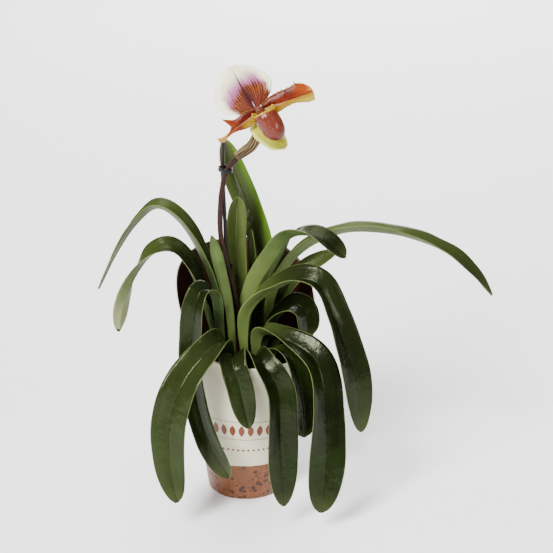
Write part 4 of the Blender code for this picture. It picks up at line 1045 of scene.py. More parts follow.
class ORCHID_OT_pot(bpy.types.Operator):
    """Build the grow pot, its bark mix, the loose chips and the root crown"""
    bl_idname = "slipper_orchid.pot"
    bl_label = "Grow pot and bark"

    def execute(self, context):
        s = context.scene.slipper_orchid.pot
        self.grow_pot(s)
        self.bark_mix(s)
        self.chips(s)
        self.crown(crown_finish(s, context.scene.slipper_orchid.leaf.base))
        return {"FINISHED"}

    def grow_pot(self, s):
        low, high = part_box("grow_pot")
        base, top = low[2], high[2]
        lip = 0.5 * (high[0] - low[0])
        wall_top = lip - POT_LIP
        ledge = top - POT_LIP_HEIGHT
        profile = [(0.0, base), (POT_BASE_RADIUS - 0.002, base), (POT_BASE_RADIUS, base + 0.002),
                   (wall_top, ledge), (lip - 0.0005, ledge), (lip, ledge + 0.0005),
                   (lip, top - 0.0008), (lip - 0.0008, top), (wall_top - 0.0004, top),
                   (wall_top - POT_WALL, top - 0.0008),
                   (POT_BASE_RADIUS - POT_WALL, base + 0.002),
                   (POT_BASE_RADIUS - 0.003, base + POT_WALL), (0.0, base + POT_WALL)]
        pot = finished_object("pot_shell", turned_shape(profile, 96), (pot_finish(s),), sharp=30)
        cutters = []
        for number in range(DRAIN_HOLES):
            turn = math.tau * number / DRAIN_HOLES
            place = Matrix.Translation((DRAIN_RING * math.cos(turn), DRAIN_RING * math.sin(turn),
                                        base))
            mesh_data = bmesh.new()
            bmesh.ops.create_cone(mesh_data, cap_ends=True, segments=24, radius1=DRAIN_RADIUS,
                                  radius2=DRAIN_RADIUS, depth=0.01, matrix=place)
            cutters.append(finished_object(f"drain_cutter_{number}", mesh_data, ()))
        cut_away(pot, cutters)
        hand_over(pot, "pot_plastic", "grow_pot")

    def bark_mix(self, s):
        low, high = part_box("bark_mix")
        top = BARK_TOP
        edge = 0.5 * (high[0] - low[0])
        foot = edge - (top - low[2]) * (POT_TOP_RADIUS - POT_BASE_RADIUS) / POT_HEIGHT
        rings = 40
        profile = [(0.0, low[2]), (foot, low[2])]
        profile += [(edge * (rings - i) / rings, top) for i in range(rings + 1)]
        mesh_data = turned_shape(profile, 120)
        for vert in mesh_data.verts:
            x, y, z = vert.co
            inside = 1.0 - math.hypot(x, y) / edge
            if z > top - 0.001 and inside > 0.01:
                spot = Vector((x, y, 0.007))
                lump = sum(noise(spot / size) * height for size, height in BARK_LUMPS)
                vert.co.z += lump + 0.002 * smoothstep(inside * 2.0) - 0.0004
        bark = finished_object("bark_bed", mesh_data, (bark_finish(s, "bark_fine", 0.5),))
        hand_over(bark, "bark", "bark_mix")

    def chips(self, s):
        """Angular bark pieces lying on the bed, clear of the crown and the stake."""
        draw = random.Random(41)
        rough = bmesh.new()
        bmesh.ops.create_cube(rough, size=1.0)
        bmesh.ops.subdivide_edges(rough, edges=rough.edges[:], cuts=1, use_grid_fill=True)
        block = bpy.data.meshes.new("bark_block")
        rough.to_mesh(block)
        rough.free()
        mesh_data = bmesh.new()
        low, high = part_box("bark_mix")
        room = 0.5 * (high[0] - low[0]) - RIM_CLEARANCE
        stake_x, stake_y = (MM * place for place in STAKE_POINTS[0][:2])
        placed = 0
        while placed < s.chips:
            reach = room * math.sqrt(draw.random())
            turn = draw.uniform(0.0, math.tau)
            x, y = reach * math.cos(turn), reach * math.sin(turn)
            along, aside = crown_frame(x, y)
            if math.hypot(along / (CROWN_HALF_LENGTH - 0.002),
                          aside / (CROWN_HALF_WIDTH - 0.002)) < 1:
                continue
            if math.hypot(x - stake_x, y - stake_y) < STAKE_CLEARANCE:
                continue
            size = Vector([draw.uniform(*limits) for limits in CHIP_SIZES])
            spin = Matrix.Rotation(draw.uniform(0, math.tau), 4, "Z")
            tilt = Matrix.Rotation(draw.gauss(0.0, CHIP_TILT), 4, "X")
            place = Matrix.Translation((x, y, BARK_TOP + 0.0012 + 0.001 * draw.random()))
            start = len(mesh_data.verts)
            mesh_data.from_mesh(block)
            mesh_data.verts.ensure_lookup_table()
            verts = mesh_data.verts[start:]
            for vert in verts:
                jag = noise(vert.co * 2.3 + Vector((placed * 3.1, 0.0, 0.0)))
                vert.co *= 0.9 + 0.35 * jag
                vert.co = Vector(a * b for a, b in zip(vert.co, size))
            bmesh.ops.transform(mesh_data, matrix=place @ spin @ tilt, verts=verts)
            placed += 1
        bmesh.ops.recalc_face_normals(mesh_data, faces=mesh_data.faces)
        chips = finished_object("bark_chips", mesh_data, (bark_finish(s, "bark_chips", 0.9),),
                                smooth=False)
        hand_over(chips, "bark")

    def crown(self, finish):
        """Low oval root crown with a lumpy top."""
        low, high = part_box("crown")
        bottom, top = low[2], high[2]
        rings = 30
        shoulder = CROWN_ROUND / CROWN_HALF_WIDTH
        profile = [(0.0, bottom), (1.0, bottom), (1.0, top - CROWN_ROUND)]
        for degrees in (22, 45, 67, 90):
            turn = math.radians(degrees)
            profile.append((1.0 - shoulder * (1.0 - math.cos(turn)),
                            top - CROWN_ROUND * (1.0 - math.sin(turn))))
        inner = profile[-1][0]
        profile += [(inner * (rings - i) / rings, top) for i in range(1, rings + 1)]
        mesh_data = turned_shape(profile, 120)
        for vert in mesh_data.verts:
            reach = math.hypot(vert.co.x, vert.co.y)
            if vert.co.z > top - 0.001:
                spot = Vector((vert.co.x, vert.co.y, 0.3)) * 9.0
                vert.co.z -= CROWN_LUMPS * abs(noise(spot)) + 0.0006 * smoothstep(reach)
        shape = (Matrix.Translation((CROWN_X, CROWN_Y, 0.0))
                 @ Matrix.Rotation(math.radians(CROWN_TURN), 4, "Z")
                 @ Matrix.Diagonal((CROWN_HALF_LENGTH, CROWN_HALF_WIDTH, 1.0, 1.0)))
        bmesh.ops.transform(mesh_data, matrix=shape, verts=mesh_data.verts)
        hand_over(finished_object("root_crown", mesh_data, (finish,)), "stem", "crown")


def crown_frame(x, y):
    """A point along and across the crown's long axis, from its middle."""
    turn = math.radians(CROWN_TURN)
    dx, dy = x - CROWN_X, y - CROWN_Y
    return (dx * math.cos(turn) + dy * math.sin(turn),
            dy * math.cos(turn) - dx * math.sin(turn))


def cut_away(obj, cutters):
    """Cuts the cutters out of a piece, applies the cuts and removes the cutters."""
    for cutter in cutters:
        cut = obj.modifiers.new("cut", "BOOLEAN")
        cut.object = cutter
        cut.operation = "DIFFERENCE"
    graph = bpy.context.evaluated_depsgraph_get()
    result = bpy.data.meshes.new_from_object(obj.evaluated_get(graph))
    obj.modifiers.clear()
    obj.data = result
    result.name = obj.name
    for cutter in cutters:
        bpy.data.objects.remove(cutter, do_unlink=True)


def stalk_finish(s, name, striped=False):
    """Finely haired purple-brown stem with green showing through, striped on the ovary."""
    f = Finish(name, Specular_IOR_Level=0.15, Sheen_Weight=0.03, Sheen_Roughness=0.5)
    x, y = f.surface_map()
    fine = f.noise(900, 4)
    broad = f.noise(70, 3)
    green = f.between(f.add((broad, 0.7), (fine, 0.3)), 0.4, 0.7)
    colour = f.mix(green, s.stalk, s.stalk_green)
    relief = f.times(fine, 0.5)
    if striped:
        ribs = f.math("SINE", f.add((x, OVARY_RIBS * math.tau), (broad, 4.0)))
        wide = f.between(y, 0.15, 0.9, 0.8, -0.8)
        light = f.between(f.math("SUBTRACT", ribs, wide), -0.3, 0.4)
        colour = f.over(colour, s.bract, light, 0.9)
        relief = f.add(relief, (ribs, 0.6))
    return f.done(colour, f.add(0.4, (fine, 0.15)), f.bump(relief, 0.0004, 0.6))


def stake_finish(s):
    """Dull plastic with faint streaks along it."""
    f = Finish("stake_plastic", Specular_IOR_Level=0.2)
    x, y = f.surface_map()
    streaks = f.map_noise((x, 36.0), (y, 9.0), 3)
    fine = f.noise(1200, 3)
    colour = f.mix(streaks, shaded(s.stake, 0.75), shaded(s.stake, 1.3))
    relief = f.add(streaks, (fine, 0.3))
    return f.done(colour, f.add(0.34, (fine, 0.12)), f.bump(relief, 0.0002, 0.5))


def clip_finish(s):
    """Black plastic, a little uneven."""
    f = Finish("clip_plastic", Specular_IOR_Level=0.2)
    fine = f.noise(1500, 3)
    colour = f.mix(f.noise(200, 2), s.clip, shaded(s.clip, 1.8))
    return f.done(colour, f.add(0.3, (fine, 0.12)), f.bump(fine, 0.0001, 0.4))


def bract_finish(s):
    """Pale papery green, with purple-brown lines on one half and a dry brown foot."""
    f = Finish("bract", Specular_IOR_Level=0.2)
    x, y = f.surface_map()
    fine = f.noise(700, 4)
    broad = f.noise(160, 3)
    veins = f.math("SINE", f.add((x, 66.0), (broad, 2.0)))
    colour = f.mix(f.between(veins, -0.6, 0.9, 0.0, 0.35), s.bract, (0.10, 0.10, 0.03))
    lined = f.between(f.add(x, (broad, 0.2)), 0.68, 0.9)
    colour = f.over(colour, s.stalk, f.times(lined, f.between(veins, -0.9, 0.1)), 0.9)
    colour = f.over(colour, s.dry, f.between(f.add(y, (fine, 0.15)), 0.24, 0.06), 0.85)
    relief = f.add((veins, 0.3), fine)
    return f.done(colour, f.add(0.45, (fine, 0.2)), f.bump(relief, 0.0003, 0.6))


def ovary_radius(t):
    return OVARY_RADIUS + OVARY_SWELL * math.sin(math.pi * t ** OVARY_PEAK)


class ORCHID_OT_stalk(bpy.types.Operator):
    """Build the flower stalk, the ovary and its bract, with their fine hairs"""
    bl_idname = "slipper_orchid.stalk"
    bl_label = "Flower stalk"

    def execute(self, context):
        s = context.scene.slipper_orchid.stalk
        self.stalk(s)
        self.ovary(s)
        self.bract(s)
        self.hairs(s)
        return {"FINISHED"}

    def stalk(self, s):
        radius = s.stalk_radius / MM

        def radius_at(t):
            return radius * (1.0 + 0.03 * noise(Vector((t * 30.0, 0.0, 0.0))))

        stalk = tube_object("flower_stalk", SCAPE_POINTS, radius_at, 28, 2.0,
                            (stalk_finish(s, "stalk"),))
        hand_over(stalk, "stem", "scape")

    def ovary(self, s):
        ovary = tube_object("ribbed_ovary", OVARY_POINTS, ovary_radius, 60, 1.0,
                            (stalk_finish(s, "ovary", striped=True),))
        hand_over(ovary, "stem", "ovary")

    def bract(self, s):
        """Papery sheath wrapped part of the way round the ovary."""
        rows = 40
        shares = [BRACT_FROM + (BRACT_TO - BRACT_FROM) * i / rows for i in range(rows + 1)]
        path = resample(curve_through(OVARY_POINTS), shares)
        frames = frames_along(path)

        def place(u, t):
            row = round(t * rows)
            tangent, side = frames[row]
            wave = BRACT_NARROW[0] + (BRACT_NARROW[1] - BRACT_NARROW[0]) * t
            half = BRACT_HALF_TURN * math.sin(math.pi * wave) ** BRACT_FULLNESS
            turn = math.radians(BRACT_FACING + u * half)
            out = side * math.cos(turn) + tangent.cross(side) * math.sin(turn)
            lift = BRACT_LIFT + BRACT_CREASE * noise(Vector((u * 3.0, t * 5.0, 2.0)))
            lift += BRACT_FLARE * (1.0 - t) ** 3 * (1.0 - u * u)
            return path[row] + out * (ovary_radius(shares[row]) + lift)

        finish = bract_finish(s)
        bract = blade_object("papery_bract", rows, 28, place, BRACT_THICKNESS * MM,
                             (finish, finish))
        hand_over(bract, "bract_green", "bract")

    def hairs(self, s):
        """Short fine hairs standing on the stalk and the ovary, each a three-sided needle."""
        draw = random.Random(7)
        mesh_data = bmesh.new()
        routes = ((SCAPE_POINTS, 0.75, lambda t: s.stalk_radius / MM),
                  (OVARY_POINTS, 0.25, ovary_radius))
        for points, part, radius_at in routes:
            count = round(s.hairs * part)
            fine = curve_through(points)
            shares = sorted(draw.uniform(0.01, 0.985) for _ in range(count))
            path = resample(fine, shares)
            for index, (point, share) in enumerate(zip(path, shares)):
                after = path[min(index + 1, count - 1)]
                before = path[max(index - 1, 0)]
                tangent = (after - before).normalized()
                aside = tangent.orthogonal().normalized()
                turn = Matrix.Rotation(draw.uniform(0.0, math.tau), 3, tangent)
                out = (turn @ aside + tangent * draw.uniform(-0.2, 0.45)).normalized()
                length = s.hair * draw.uniform(0.6, 1.2)
                root = (point + (turn @ aside) * radius_at(share) * 0.985) * MM
                place = (Matrix.Translation(root + out * 0.5 * length)
                         @ out.to_track_quat("Z", "Y").to_matrix().to_4x4())
                bmesh.ops.create_cone(mesh_data, cap_ends=False, segments=3, radius2=0.0,
                                      radius1=HAIR_RADIUS * MM, depth=length, matrix=place)
        finish = Finish("hairs", Sheen_Weight=0.3)
        tone = finish.mix(finish.noise(300, 2), (0.12, 0.06, 0.05), (0.30, 0.20, 0.14))
        hairs = finished_object("stalk_hairs", mesh_data, (finish.done(tone, 0.6),), smooth=False)
        hand_over(hairs, "stem")


class ORCHID_OT_support(bpy.types.Operator):
    """Build the stake and the two clips that hold the stalk to it"""
    bl_idname = "slipper_orchid.support"
    bl_label = "Stake and clips"

    def execute(self, context):
        s = context.scene.slipper_orchid.stalk
        radius = s.stake_radius / MM
        stake = tube_object("stake_rod", STAKE_POINTS, lambda t: radius, 24, 3.0,
                            (stake_finish(s),))
        hand_over(stake, "stake_plastic", "stake")
        finish = clip_finish(s)
        for clip in CLIPS:
            self.clip(s, clip, finish)
        return {"FINISHED"}

    def clip(self, s, clip, finish):
        """A loop round the stake and the stalk: a flat oval band with soft edges."""
        stake = loop_end(clip, STAKE_POINTS, s.stake_radius / MM, SCAPE_POINTS)
        stalk = loop_end(clip, SCAPE_POINTS, s.stalk_radius / MM, STAKE_POINTS)
        middle = (stake + stalk) * 0.5
        span = (stalk - stake).length
        turn = math.atan2(stalk.y - stake.y, stalk.x - stake.x)
        mesh_data = bmesh.new()
        bmesh.ops.create_circle(mesh_data, cap_ends=False, segments=64, radius=1.0)
        for vert in mesh_data.verts:
            vert.co *= clip.inner + clip.wall
            vert.co.x += math.copysign(0.5 * span, vert.co.x) if abs(vert.co.x) > 1e-6 else 0.0
        wide = bmesh.ops.extrude_edge_only(mesh_data, edges=mesh_data.edges[:])["geom"]
        lifted = [v for v in wide if isinstance(v, bmesh.types.BMVert)]
        bmesh.ops.translate(mesh_data, verts=lifted, vec=(0.0, 0.0, clip.band))
        bmesh.ops.recalc_face_normals(mesh_data, faces=mesh_data.faces)
        place = (Matrix.Translation((middle.x, middle.y, clip.height - 0.5 * clip.band))
                 @ Matrix.Rotation(turn, 4, "Z"))
        bmesh.ops.transform(mesh_data, matrix=Matrix.Scale(MM, 4) @ place, verts=mesh_data.verts)
        obj = finished_object(clip.name.replace("clip", "loop_clip"), mesh_data, (finish,))
        thicken(obj, clip.wall * MM)
        soft = obj.modifiers.new("edges", "BEVEL")
        soft.width = CLIP_BEVEL * MM
        soft.segments = 2
        soft.limit_method = "ANGLE"
        hand_over(obj, "clip_plastic", clip.name)


def nearest_on(points, height):
    """Point of a curve at a height, and the curve's direction there."""
    fine = curve_through(points)
    index = min(range(1, len(fine) - 1), key=lambda i: abs(fine[i].z - height))
    return fine[index], (fine[index + 1] - fine[index - 1]).normalized()


def loop_end(clip, points, radius, other_points):
    """Centre of a clip's round end, set so that the loop just clears the bar in it."""
    bar, direction = nearest_on(points, clip.height)
    other, _ = nearest_on(other_points, clip.height)
    inward = Vector((other.x - bar.x, other.y - bar.y, 0.0)).normalized()
    lean = abs(direction.dot(inward)) / direction.z
    reach = radius / direction.z + 0.5 * clip.band * lean + 2 * GAP
    end = bar + inward * (clip.inner - reach)
    return Vector((end.x, end.y, clip.height))


def flower_point(x, y, z):
    """From the flower's own frame to the plant's, in millimetres."""
    turn = (Matrix.Rotation(math.radians(90.0 - FLOWER_PITCH), 3, "X")
            @ Matrix.Rotation(math.radians(FLOWER_ROLL), 3, "Z"))
    return turn @ Vector((x, y, z)) + Vector(FLOWER_CENTRE)


def pouch_point(turn, share):
    """Point of the pouch's outside: turn round it in radians, share of the way down."""
    width = max(1.0 - share ** POUCH_FULLNESS, 0.0) ** 0.5
    width *= POUCH_NECK + (1.0 - POUCH_NECK) * smoothstep(share / POUCH_NECK_DEPTH)
    ear = 0.0
    for at in POUCH_EAR_AT:
        off = (math.degrees(turn) - at + 180.0) % 360.0 - 180.0
        ear = max(ear, 1.0 - (off / POUCH_EAR_SPREAD) ** 2)
    ear *= 1.0 - smoothstep(share / POUCH_EAR_DEPTH)
    x = POUCH_MIDDLE[0] + POUCH_DRIFT[0] * share
    z = POUCH_MIDDLE[1] + POUCH_DRIFT[1] * share
    x += (POUCH_HALF_WIDTH * width + POUCH_FLARE * ear) * math.cos(turn)
    z += POUCH_HALF_DEPTH * width * math.sin(turn)
    y = POUCH_TOP + (POUCH_BOTTOM - POUCH_TOP) * share + POUCH_EARS * ear
    roll = POUCH_ROLL * math.exp(-(share / 0.035) ** 2)
    crease = POUCH_CREASE * math.exp(-((math.degrees(turn) - POUCH_CREASE_AT) / 5.0) ** 2)
    crease *= 1.0 - smoothstep(share / 0.5)
    spot = Vector((math.cos(turn), math.sin(turn), share * 2.5)) * 1.3
    uneven = POUCH_UNEVEN * smoothstep(share * 6.0) * noise(spot)
    x += (roll + uneven) * math.cos(turn)
    z += (roll + uneven - crease) * math.sin(turn)
    return flower_point(x, y + POUCH_TILT * math.sin(turn) * (1.0 - share), z)


def dorsal_finish(s, name, strength):
    """Cream margin, pink flush, brown lines that fan out from the base and a dark midline."""
    f = Finish(name, Specular_IOR_Level=0.12, Sheen_Weight=0.05)
    x, y = f.surface_map()
    across, side = f.from_middle(x)
    fine = f.noise(700, 4)
    broad = f.noise(130, 3)
    rays = f.map_noise((across, 34.0), (y, 2.6), 4, 0.6)
    gaps = f.map_noise((across, 40.0), (y, 34.0), 2)
    fan = f.math("SINE", f.add((across, 72.0), (broad, 5.0), (rays, 12.0)))
    lines = f.between(f.add(fan, f.swing(gaps, 5.0), f.swing(fine, 2.0)), -0.8, 0.4)
    reach = f.add(f.attribute("reach"), f.swing(rays, 0.34), f.swing(broad, 0.1))
    colour = f.over(s.cream, (0.62, 0.66, 0.30), fine, 0.12)
    colour = f.over(colour, (0.75, 0.72, 0.35), f.between(y, 0.8, 1.0), 0.25)
    inside = f.between(f.add(side, f.swing(broad, 0.2)), 0.95, 0.66)
    inside = f.math("MAXIMUM", inside, f.between(reach, 0.50, 0.36))
    flush = f.times(f.between(reach, 0.95, 0.6), inside)
    colour = f.over(colour, s.flush, flush, 0.92 * strength)
    inner = f.times(f.between(reach, 0.60, 0.47), inside)
    ground = f.mix(f.between(reach, 0.22, 0.55), s.mahogany, s.dorsal_ground)
    colour = f.over(colour, ground, inner, strength)
    brown = f.times(lines, f.between(reach, 0.66, 0.5), inside)
    colour = f.over(colour, s.vein, brown, 0.95 * strength)
    heart = f.times(f.between(reach, 0.6, 0.35), f.between(side, 0.42, 0.06))
    colour = f.over(colour, s.maroon, heart, strength)
    width = f.between(y, 1.0, 0.3, 0.008, 0.055)
    midline = f.between(f.math("DIVIDE", side, width), 1.6, 0.7)
    colour = f.over(colour, s.maroon, f.times(midline, f.between(y, 1.0, 0.93)), 0.9)
    off = f.math("ABSOLUTE", f.math("SUBTRACT", across, 0.09))
    streak = f.times(f.between(off, 0.05, 0.02), f.between(y, 0.22, 0.12))
    colour = f.over(colour, (0.75, 0.55, 0.5), streak, 0.8 * strength)
    relief = f.add((fan, 0.25), (fine, 0.3), (f.between(side, 0.06, 0.0), -1.2))
    return f.done(colour, f.add(0.42, (fine, 0.15)), f.bump(relief, 0.0004, 0.6))


def petal_finish(s, name, ochre_to, tip_from, warmth, depth):
    """Glossy mahogany, with speckled ochre below the midline out to ochre_to, and an amber tip.

    ochre_to and tip_from are distances from the flower's centre, in the unit of reach. warmth
    is how far the outer part turns amber, and depth how far the rest is deep red.
    """
    f = Finish(name, Specular_IOR_Level=0.15, Coat_Weight=0.06, Coat_Roughness=0.2)
    across, side = f.from_middle(f.surface_map()[0])
    reach = f.attribute("reach")
    fine = f.noise(700, 4)
    broad = f.noise(140, 3)
    wobble = f.swing(broad, 0.3)
    upper = f.math("MAXIMUM", f.between(f.add(across, wobble), -0.22, 0.02),
                   f.between(f.add(reach, (wobble, 0.5)), ochre_to - 0.08, ochre_to + 0.08))
    mottle = f.between(f.add((fine, 0.6), (broad, 0.4)), 0.38, 0.66)
    glossy = f.over(s.deep, s.mahogany, mottle, 1.0 - depth)
    outer = f.between(f.add(reach, wobble), tip_from - 0.45, tip_from + 0.05)
    glossy = f.over(glossy, s.amber, outer, warmth)
    tan = f.between(f.add(reach, (wobble, 1.5)), tip_from, tip_from + 0.12)
    glossy = f.over(glossy, s.tan, tan, 0.7)
    glossy = f.over(glossy, s.deep, f.between(reach, 0.32, 0.08), 0.75)
    lower = f.mix(f.between(reach, 0.5, 1.05), s.ochre, (0.36, 0.27, 0.02))
    lower = f.over(lower, s.vein_warm, f.between(f.add(across, wobble), -0.75, -0.3), 0.55)
    spots = f.times(f.cells(640, 0.42, 0.25), f.between(f.add(reach, wobble), 0.95, 0.35))
    lower = f.over(lower, s.vein_warm, spots, 0.85)
    colour = f.mix(upper, lower, glossy)
    colour = f.over(colour, s.rim, f.between(f.add(side, (wobble, 0.2)), 0.92, 0.99), 0.7)
    line = f.math("ABSOLUTE", f.add(across, 0.02))
    colour = f.over(colour, s.deep, f.between(line, 0.08, 0.02), 0.85)
    relief = f.add((fine, 0.45), (broad, 1.4))
    return f.done(colour, f.add(0.3, (fine, 0.16)), f.bump(relief, 0.0006, 0.7))


def synsepal_finish(s):
    """Lime green with darker lengthwise veins and a paler margin."""
    f = Finish("synsepal", Specular_IOR_Level=0.25)
    x, _ = f.surface_map()
    _, side = f.from_middle(x)
    fine = f.noise(600, 4)
    broad = f.noise(100, 3)
    veins = f.math("SINE", f.add((x, 64.0), (broad, 3.0)))
    colour = f.mix(f.between(broad, 0.35, 0.7), s.lime, shaded(s.lime, 0.7))
    colour = f.mix(f.between(veins, 0.2, 1.0, 0.0, 0.4), colour, (0.16, 0.16, 0.01))
    colour = f.over(colour, (0.80, 0.76, 0.22), f.between(side, 0.6, 0.98), 0.7)
    # Painted shade: darker brown towards the flower's centre, behind the pouch
    colour = f.over(colour, (0.22, 0.16, 0.02), f.between(f.attribute("reach"), 0.35, 0.1), 0.6)
    relief = f.add((veins, 0.4), fine)
    return f.done(colour, f.add(0.42, (fine, 0.15)), f.bump(relief, 0.0004, 0.6))


def pouch_finish(s):
    """Glossy red-brown with a net of darker veins and a yellow rim."""
    f = Finish("pouch", Specular_IOR_Level=0.25, Coat_Weight=0.1, Coat_Roughness=0.1)
    fine = f.noise(700, 4)
    broad = f.noise(90, 3)
    veins = f.cells(230, 0.10, 0.02, feature="DISTANCE_TO_EDGE")
    rim = f.attribute("rim")
    colour = f.mix(f.between(broad, 0.35, 0.7), s.pouch, shaded(s.pouch, 0.8))
    colour = f.over(colour, s.pouch_deep, veins, 0.45)
    colour = f.over(colour, s.rim, f.between(f.add(rim, (fine, 0.2)), 0.55, 0.95), 0.9)
    spots = f.times(f.cells(600, 0.35, 0.2), f.between(rim, 0.3, 0.7))
    colour = f.over(colour, s.pouch_deep, spots, 0.6)
    relief = f.add((veins, 0.3), (fine, 0.25), (broad, 0.8))
    return f.done(colour, f.add(0.17, (fine, 0.12)), f.bump(relief, 0.0005, 0.6))


def pouch_inside_finish(s):
    """Yellow with dark red spots."""
    f = Finish("pouch_inside", Specular_IOR_Level=0.4)
    colour = f.over(s.rim, s.deep, f.cells(450, 0.36, 0.22), 0.7)
    return f.done(colour, 0.45, f.bump(f.noise(500, 4), 0.0003, 0.6))


def shield_finish(s):
    """Red-brown with ochre specks."""
    f = Finish("shield", Specular_IOR_Level=0.25)
    fine = f.noise(900, 4)
    colour = f.mix(f.between(f.noise(300, 2), 0.4, 0.65), s.shield, shaded(s.shield, 0.5))
    colour = f.over(colour, s.ochre, f.between(fine, 0.58, 0.66))
    return f.done(colour, f.add(0.3, (fine, 0.15)), f.bump(fine, 0.0004, 0.7))


class ORCHID_OT_flower(bpy.types.Operator):
    """Build the sepals, the petals, the pouch and the column"""
    bl_idname = "slipper_orchid.flower"
    bl_label = "Flower"

    def execute(self, context):
        s = context.scene.slipper_orchid.flower
        right = petal_finish(s, "petal_right", 2.0, 1.0, 0.75, 0.1)
        left = petal_finish(s, "petal_left", 0.42, 0.8, 0.8, 0.5)
        lime = synsepal_finish(s)
        finishes = {"dorsal_sepal": ((dorsal_finish(s, "dorsal_back", 0.3),
                                      dorsal_finish(s, "dorsal_front", 1.0)), "dorsal_cream"),
                    "synsepal": ((lime, lime), "sepal_lime"),
                    "petal_right": ((right, right), "petal_red_brown"),
                    "petal_left": ((left, left), "petal_red_brown")}
        for petal in PETALS:
            materials, slot = finishes[petal.name]
            self.petal(petal, s, materials, slot)
        self.pouch(s)
        self.column(s)
        return {"FINISHED"}

    def petal(self, petal, s, materials, slot):
        spans = len(petal.middle) - 1
        each = round(PETAL_ROWS / spans)
        rows = each * spans
        middle = curve_through(petal.middle, each)
        one_edge = curve_through(petal.one_edge, each)
        other_edge = curve_through(petal.other_edge, each)
        seed = len(petal.name) * 1.7

        def place(u, t):
            row = round(t * rows)
            edge = one_edge[row] if u > 0 else other_edge[row]
            share = abs(u)
            spot = middle[row].lerp(edge, share)
            out = (edge - middle[row]).normalized()
            crisp = PETAL_CRISP * noise(Vector((t * 22.0, seed, u))) * share ** 5
            for at, height, width in petal.spurs:
                if u > 0:
                    crisp += height * share ** 8 * math.exp(-((t - at) / width) ** 2)
            ripple = PETAL_RIPPLE * share ** 3 * noise(Vector((t * 13.0, u * 1.5, seed)))
            swell = PETAL_SWELL * noise(Vector((t * 6.0, u * 2.2, seed + 5.0)))
            groove = PETAL_GROOVE * math.exp(-(u / 0.06) ** 2)
            x, y, z = spot + out * crisp
            z += 4.0 * petal.bulge * share * (1.0 - share) + ripple + swell - groove
            return flower_point(x, y, z)

        def values(u, t):
            row = round(t * rows)
            x, y, _ = middle[row].lerp(one_edge[row] if u > 0 else other_edge[row], abs(u))
            return {"reach": math.hypot(x, y) / REACH_UNIT}

        blade = blade_object(petal.name + "_blade", rows, 36, place, s.thickness, materials,
                             values)
        hand_over(blade, slot, petal.name)

    def pouch(self, s):
        """Slipper-shaped lip with a yellow rim, folded in beside the column."""
        mesh_data = new_grid(112, 60)
        rim_layer = mesh_data.verts.layers.float.new("rim")
        for vert in mesh_data.verts:
            turn = math.pi * (vert.co.x + 1.0)
            down = 0.5 * (1.0 - vert.co.y)
            share = 1.0 - (1.0 - down) ** 1.7
            vert[rim_layer] = max(1.0 - share / POUCH_RIM_SHARE, 0.0)
            vert.co = pouch_point(turn, share) * MM
        close_up(mesh_data)
        finishes = (pouch_finish(s), pouch_inside_finish(s))
        pouch = finished_object("slipper_pouch", mesh_data, finishes)
        thicken(pouch, s.thickness, inside=1)
        hand_over(pouch, "pouch_red_brown", "pouch")

    def column(self, s):
        """Short column that carries a domed, notched shield with a small boss."""
        profile = [(0.0, COLUMN_BACK), (COLUMN_RADIUS - 0.3, COLUMN_BACK),
                   (COLUMN_RADIUS, COLUMN_BACK + 0.3), (COLUMN_RADIUS, COLUMN_FRONT - 0.3),
                   (SHIELD_RADIUS - 0.4, COLUMN_FRONT), (SHIELD_RADIUS, COLUMN_FRONT + 0.4),
                   (SHIELD_RADIUS * 0.96, COLUMN_FRONT + SHIELD_DEPTH * 0.45),
                   (SHIELD_RADIUS * 0.8, COLUMN_FRONT + SHIELD_DEPTH * 0.8),
                   (SHIELD_RADIUS * 0.5, COLUMN_FRONT + SHIELD_DEPTH * 0.9),
                   (SHIELD_RADIUS * 0.3, COLUMN_FRONT + SHIELD_DEPTH * 0.85),
                   (SHIELD_RADIUS * 0.2, COLUMN_FRONT + SHIELD_DEPTH),
                   (0.0, COLUMN_FRONT + SHIELD_DEPTH * 1.02)]
        mesh_data = turned_shape(profile, 48)
        for vert in mesh_data.verts:
            x, y, z = vert.co
            raised = SHIELD_RAISED if z > COLUMN_FRONT + 0.1 else 0.0
            vert.co = flower_point(x, y + raised, z) * MM
        column = finished_object("column_shield", mesh_data, (shield_finish(s),))
        soft = column.modifiers.new("soft", "SUBSURF")
        soft.levels = 1
        soft.render_levels = 1
        hand_over(column, "column_ochre", "column")


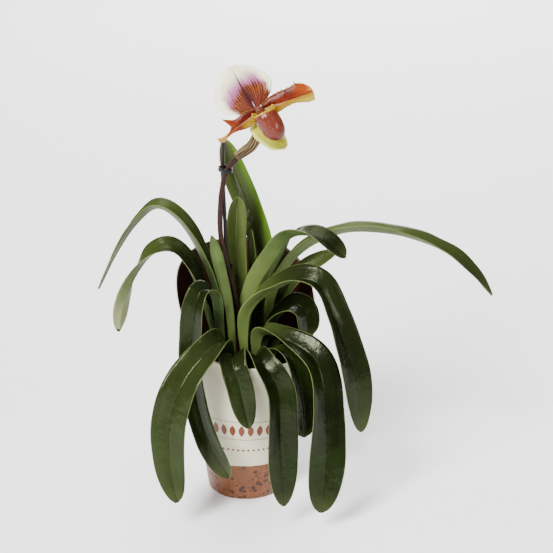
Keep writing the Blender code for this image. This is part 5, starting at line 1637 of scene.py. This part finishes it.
class ORCHID_OT_stage(bpy.types.Operator):
    """Set the pale floor, the soft studio lights and the camera"""
    bl_idname = "slipper_orchid.stage"
    bl_label = "Stage"

    def execute(self, context):
        s = context.scene.slipper_orchid.stage
        self.floor(s)
        self.lights(context)
        self.camera(context, s)
        return {"FINISHED"}

    def floor(self, s):
        mesh_data = bmesh.new()
        bmesh.ops.create_grid(mesh_data, x_segments=2, y_segments=2, size=8.0)
        f = Finish("floor")
        colour = f.over(s.floor, (0.8, 0.8, 0.8), f.noise(3, 2), 0.04)
        floor = finished_object("floor", mesh_data, (f.done(colour, 0.85),), smooth=False)

    def lights(self, context):
        world = bpy.data.worlds.new("studio")
        world.use_nodes = True
        background = world.node_tree.nodes["Background"]
        background.inputs["Color"].default_value = (1.0, 1.0, 1.0, 1.0)
        background.inputs["Strength"].default_value = ROOM_STRENGTH
        context.scene.world = world
        for name, place, size, power in LAMPS:
            light = bpy.data.lights.new(name, "AREA")
            light.shape = "DISK"
            light.size = size
            light.energy = power
            self.lamp(context, light, place)
        sky = bpy.data.lights.new("sky", "SUN")
        sky.energy = SKY_STRENGTH
        sky.angle = math.radians(SKY_SPREAD)
        self.lamp(context, sky, SKY_PLACE)

    def lamp(self, context, light, place):
        lamp = bpy.data.objects.new(light.name, light)
        lamp.location = place
        lamp.rotation_euler = (LAMP_AIM - lamp.location).to_track_quat("-Z", "Y").to_euler()
        context.scene.collection.objects.link(lamp)

    def camera(self, context, s):
        data = bpy.data.cameras.new("camera")
        data.sensor_width = 36.0
        data.lens = s.lens
        camera = bpy.data.objects.new("camera", data)
        camera.location = (CAMERA_TARGET + s.distance
                           * Vector((0.0, -math.cos(s.elevation), math.sin(s.elevation))))
        camera.rotation_euler = (0.5 * math.pi - s.elevation, 0.0, 0.0)
        context.scene.collection.objects.link(camera)
        context.scene.camera = camera


class ORCHID_PT_panel(bpy.types.Panel):
    """Lists the steps in order"""
    bl_idname = "ORCHID_PT_panel"
    bl_label = "Slipper orchid"
    bl_space_type = "VIEW_3D"
    bl_region_type = "UI"
    bl_category = "Orchid"

    def draw(self, context):
        settings = context.scene.slipper_orchid
        for operator in OPERATORS:
            self.layout.operator(operator.bl_idname)
        for group in (settings.leaf, settings.pot, settings.stalk, settings.flower,
                      settings.stage):
            box = self.layout.box()
            for key in group.__annotations__:
                box.prop(group, key)


OPERATORS = (ORCHID_OT_stage, ORCHID_OT_sleeve, ORCHID_OT_pot, ORCHID_OT_leaves,
             ORCHID_OT_stalk, ORCHID_OT_support, ORCHID_OT_flower)
CLASSES = (LeafSettings, PotSettings, StalkSettings, FlowerSettings, StageSettings,
           OrchidSettings) + OPERATORS + (ORCHID_PT_panel,)


def register():
    for cls in CLASSES:
        bpy.utils.register_class(cls)
    bpy.types.Scene.slipper_orchid = PointerProperty(type=OrchidSettings)


def unregister():
    del bpy.types.Scene.slipper_orchid
    for cls in reversed(CLASSES):
        bpy.utils.unregister_class(cls)


def main():
    register()
    bpy.ops.slipper_orchid.stage()
    bpy.ops.slipper_orchid.sleeve()
    bpy.ops.slipper_orchid.pot()
    bpy.ops.slipper_orchid.leaves()
    bpy.ops.slipper_orchid.stalk()
    bpy.ops.slipper_orchid.support()
    bpy.ops.slipper_orchid.flower()
    bpy.context.view_layer.update()


if __name__ == "__main__":
    main()
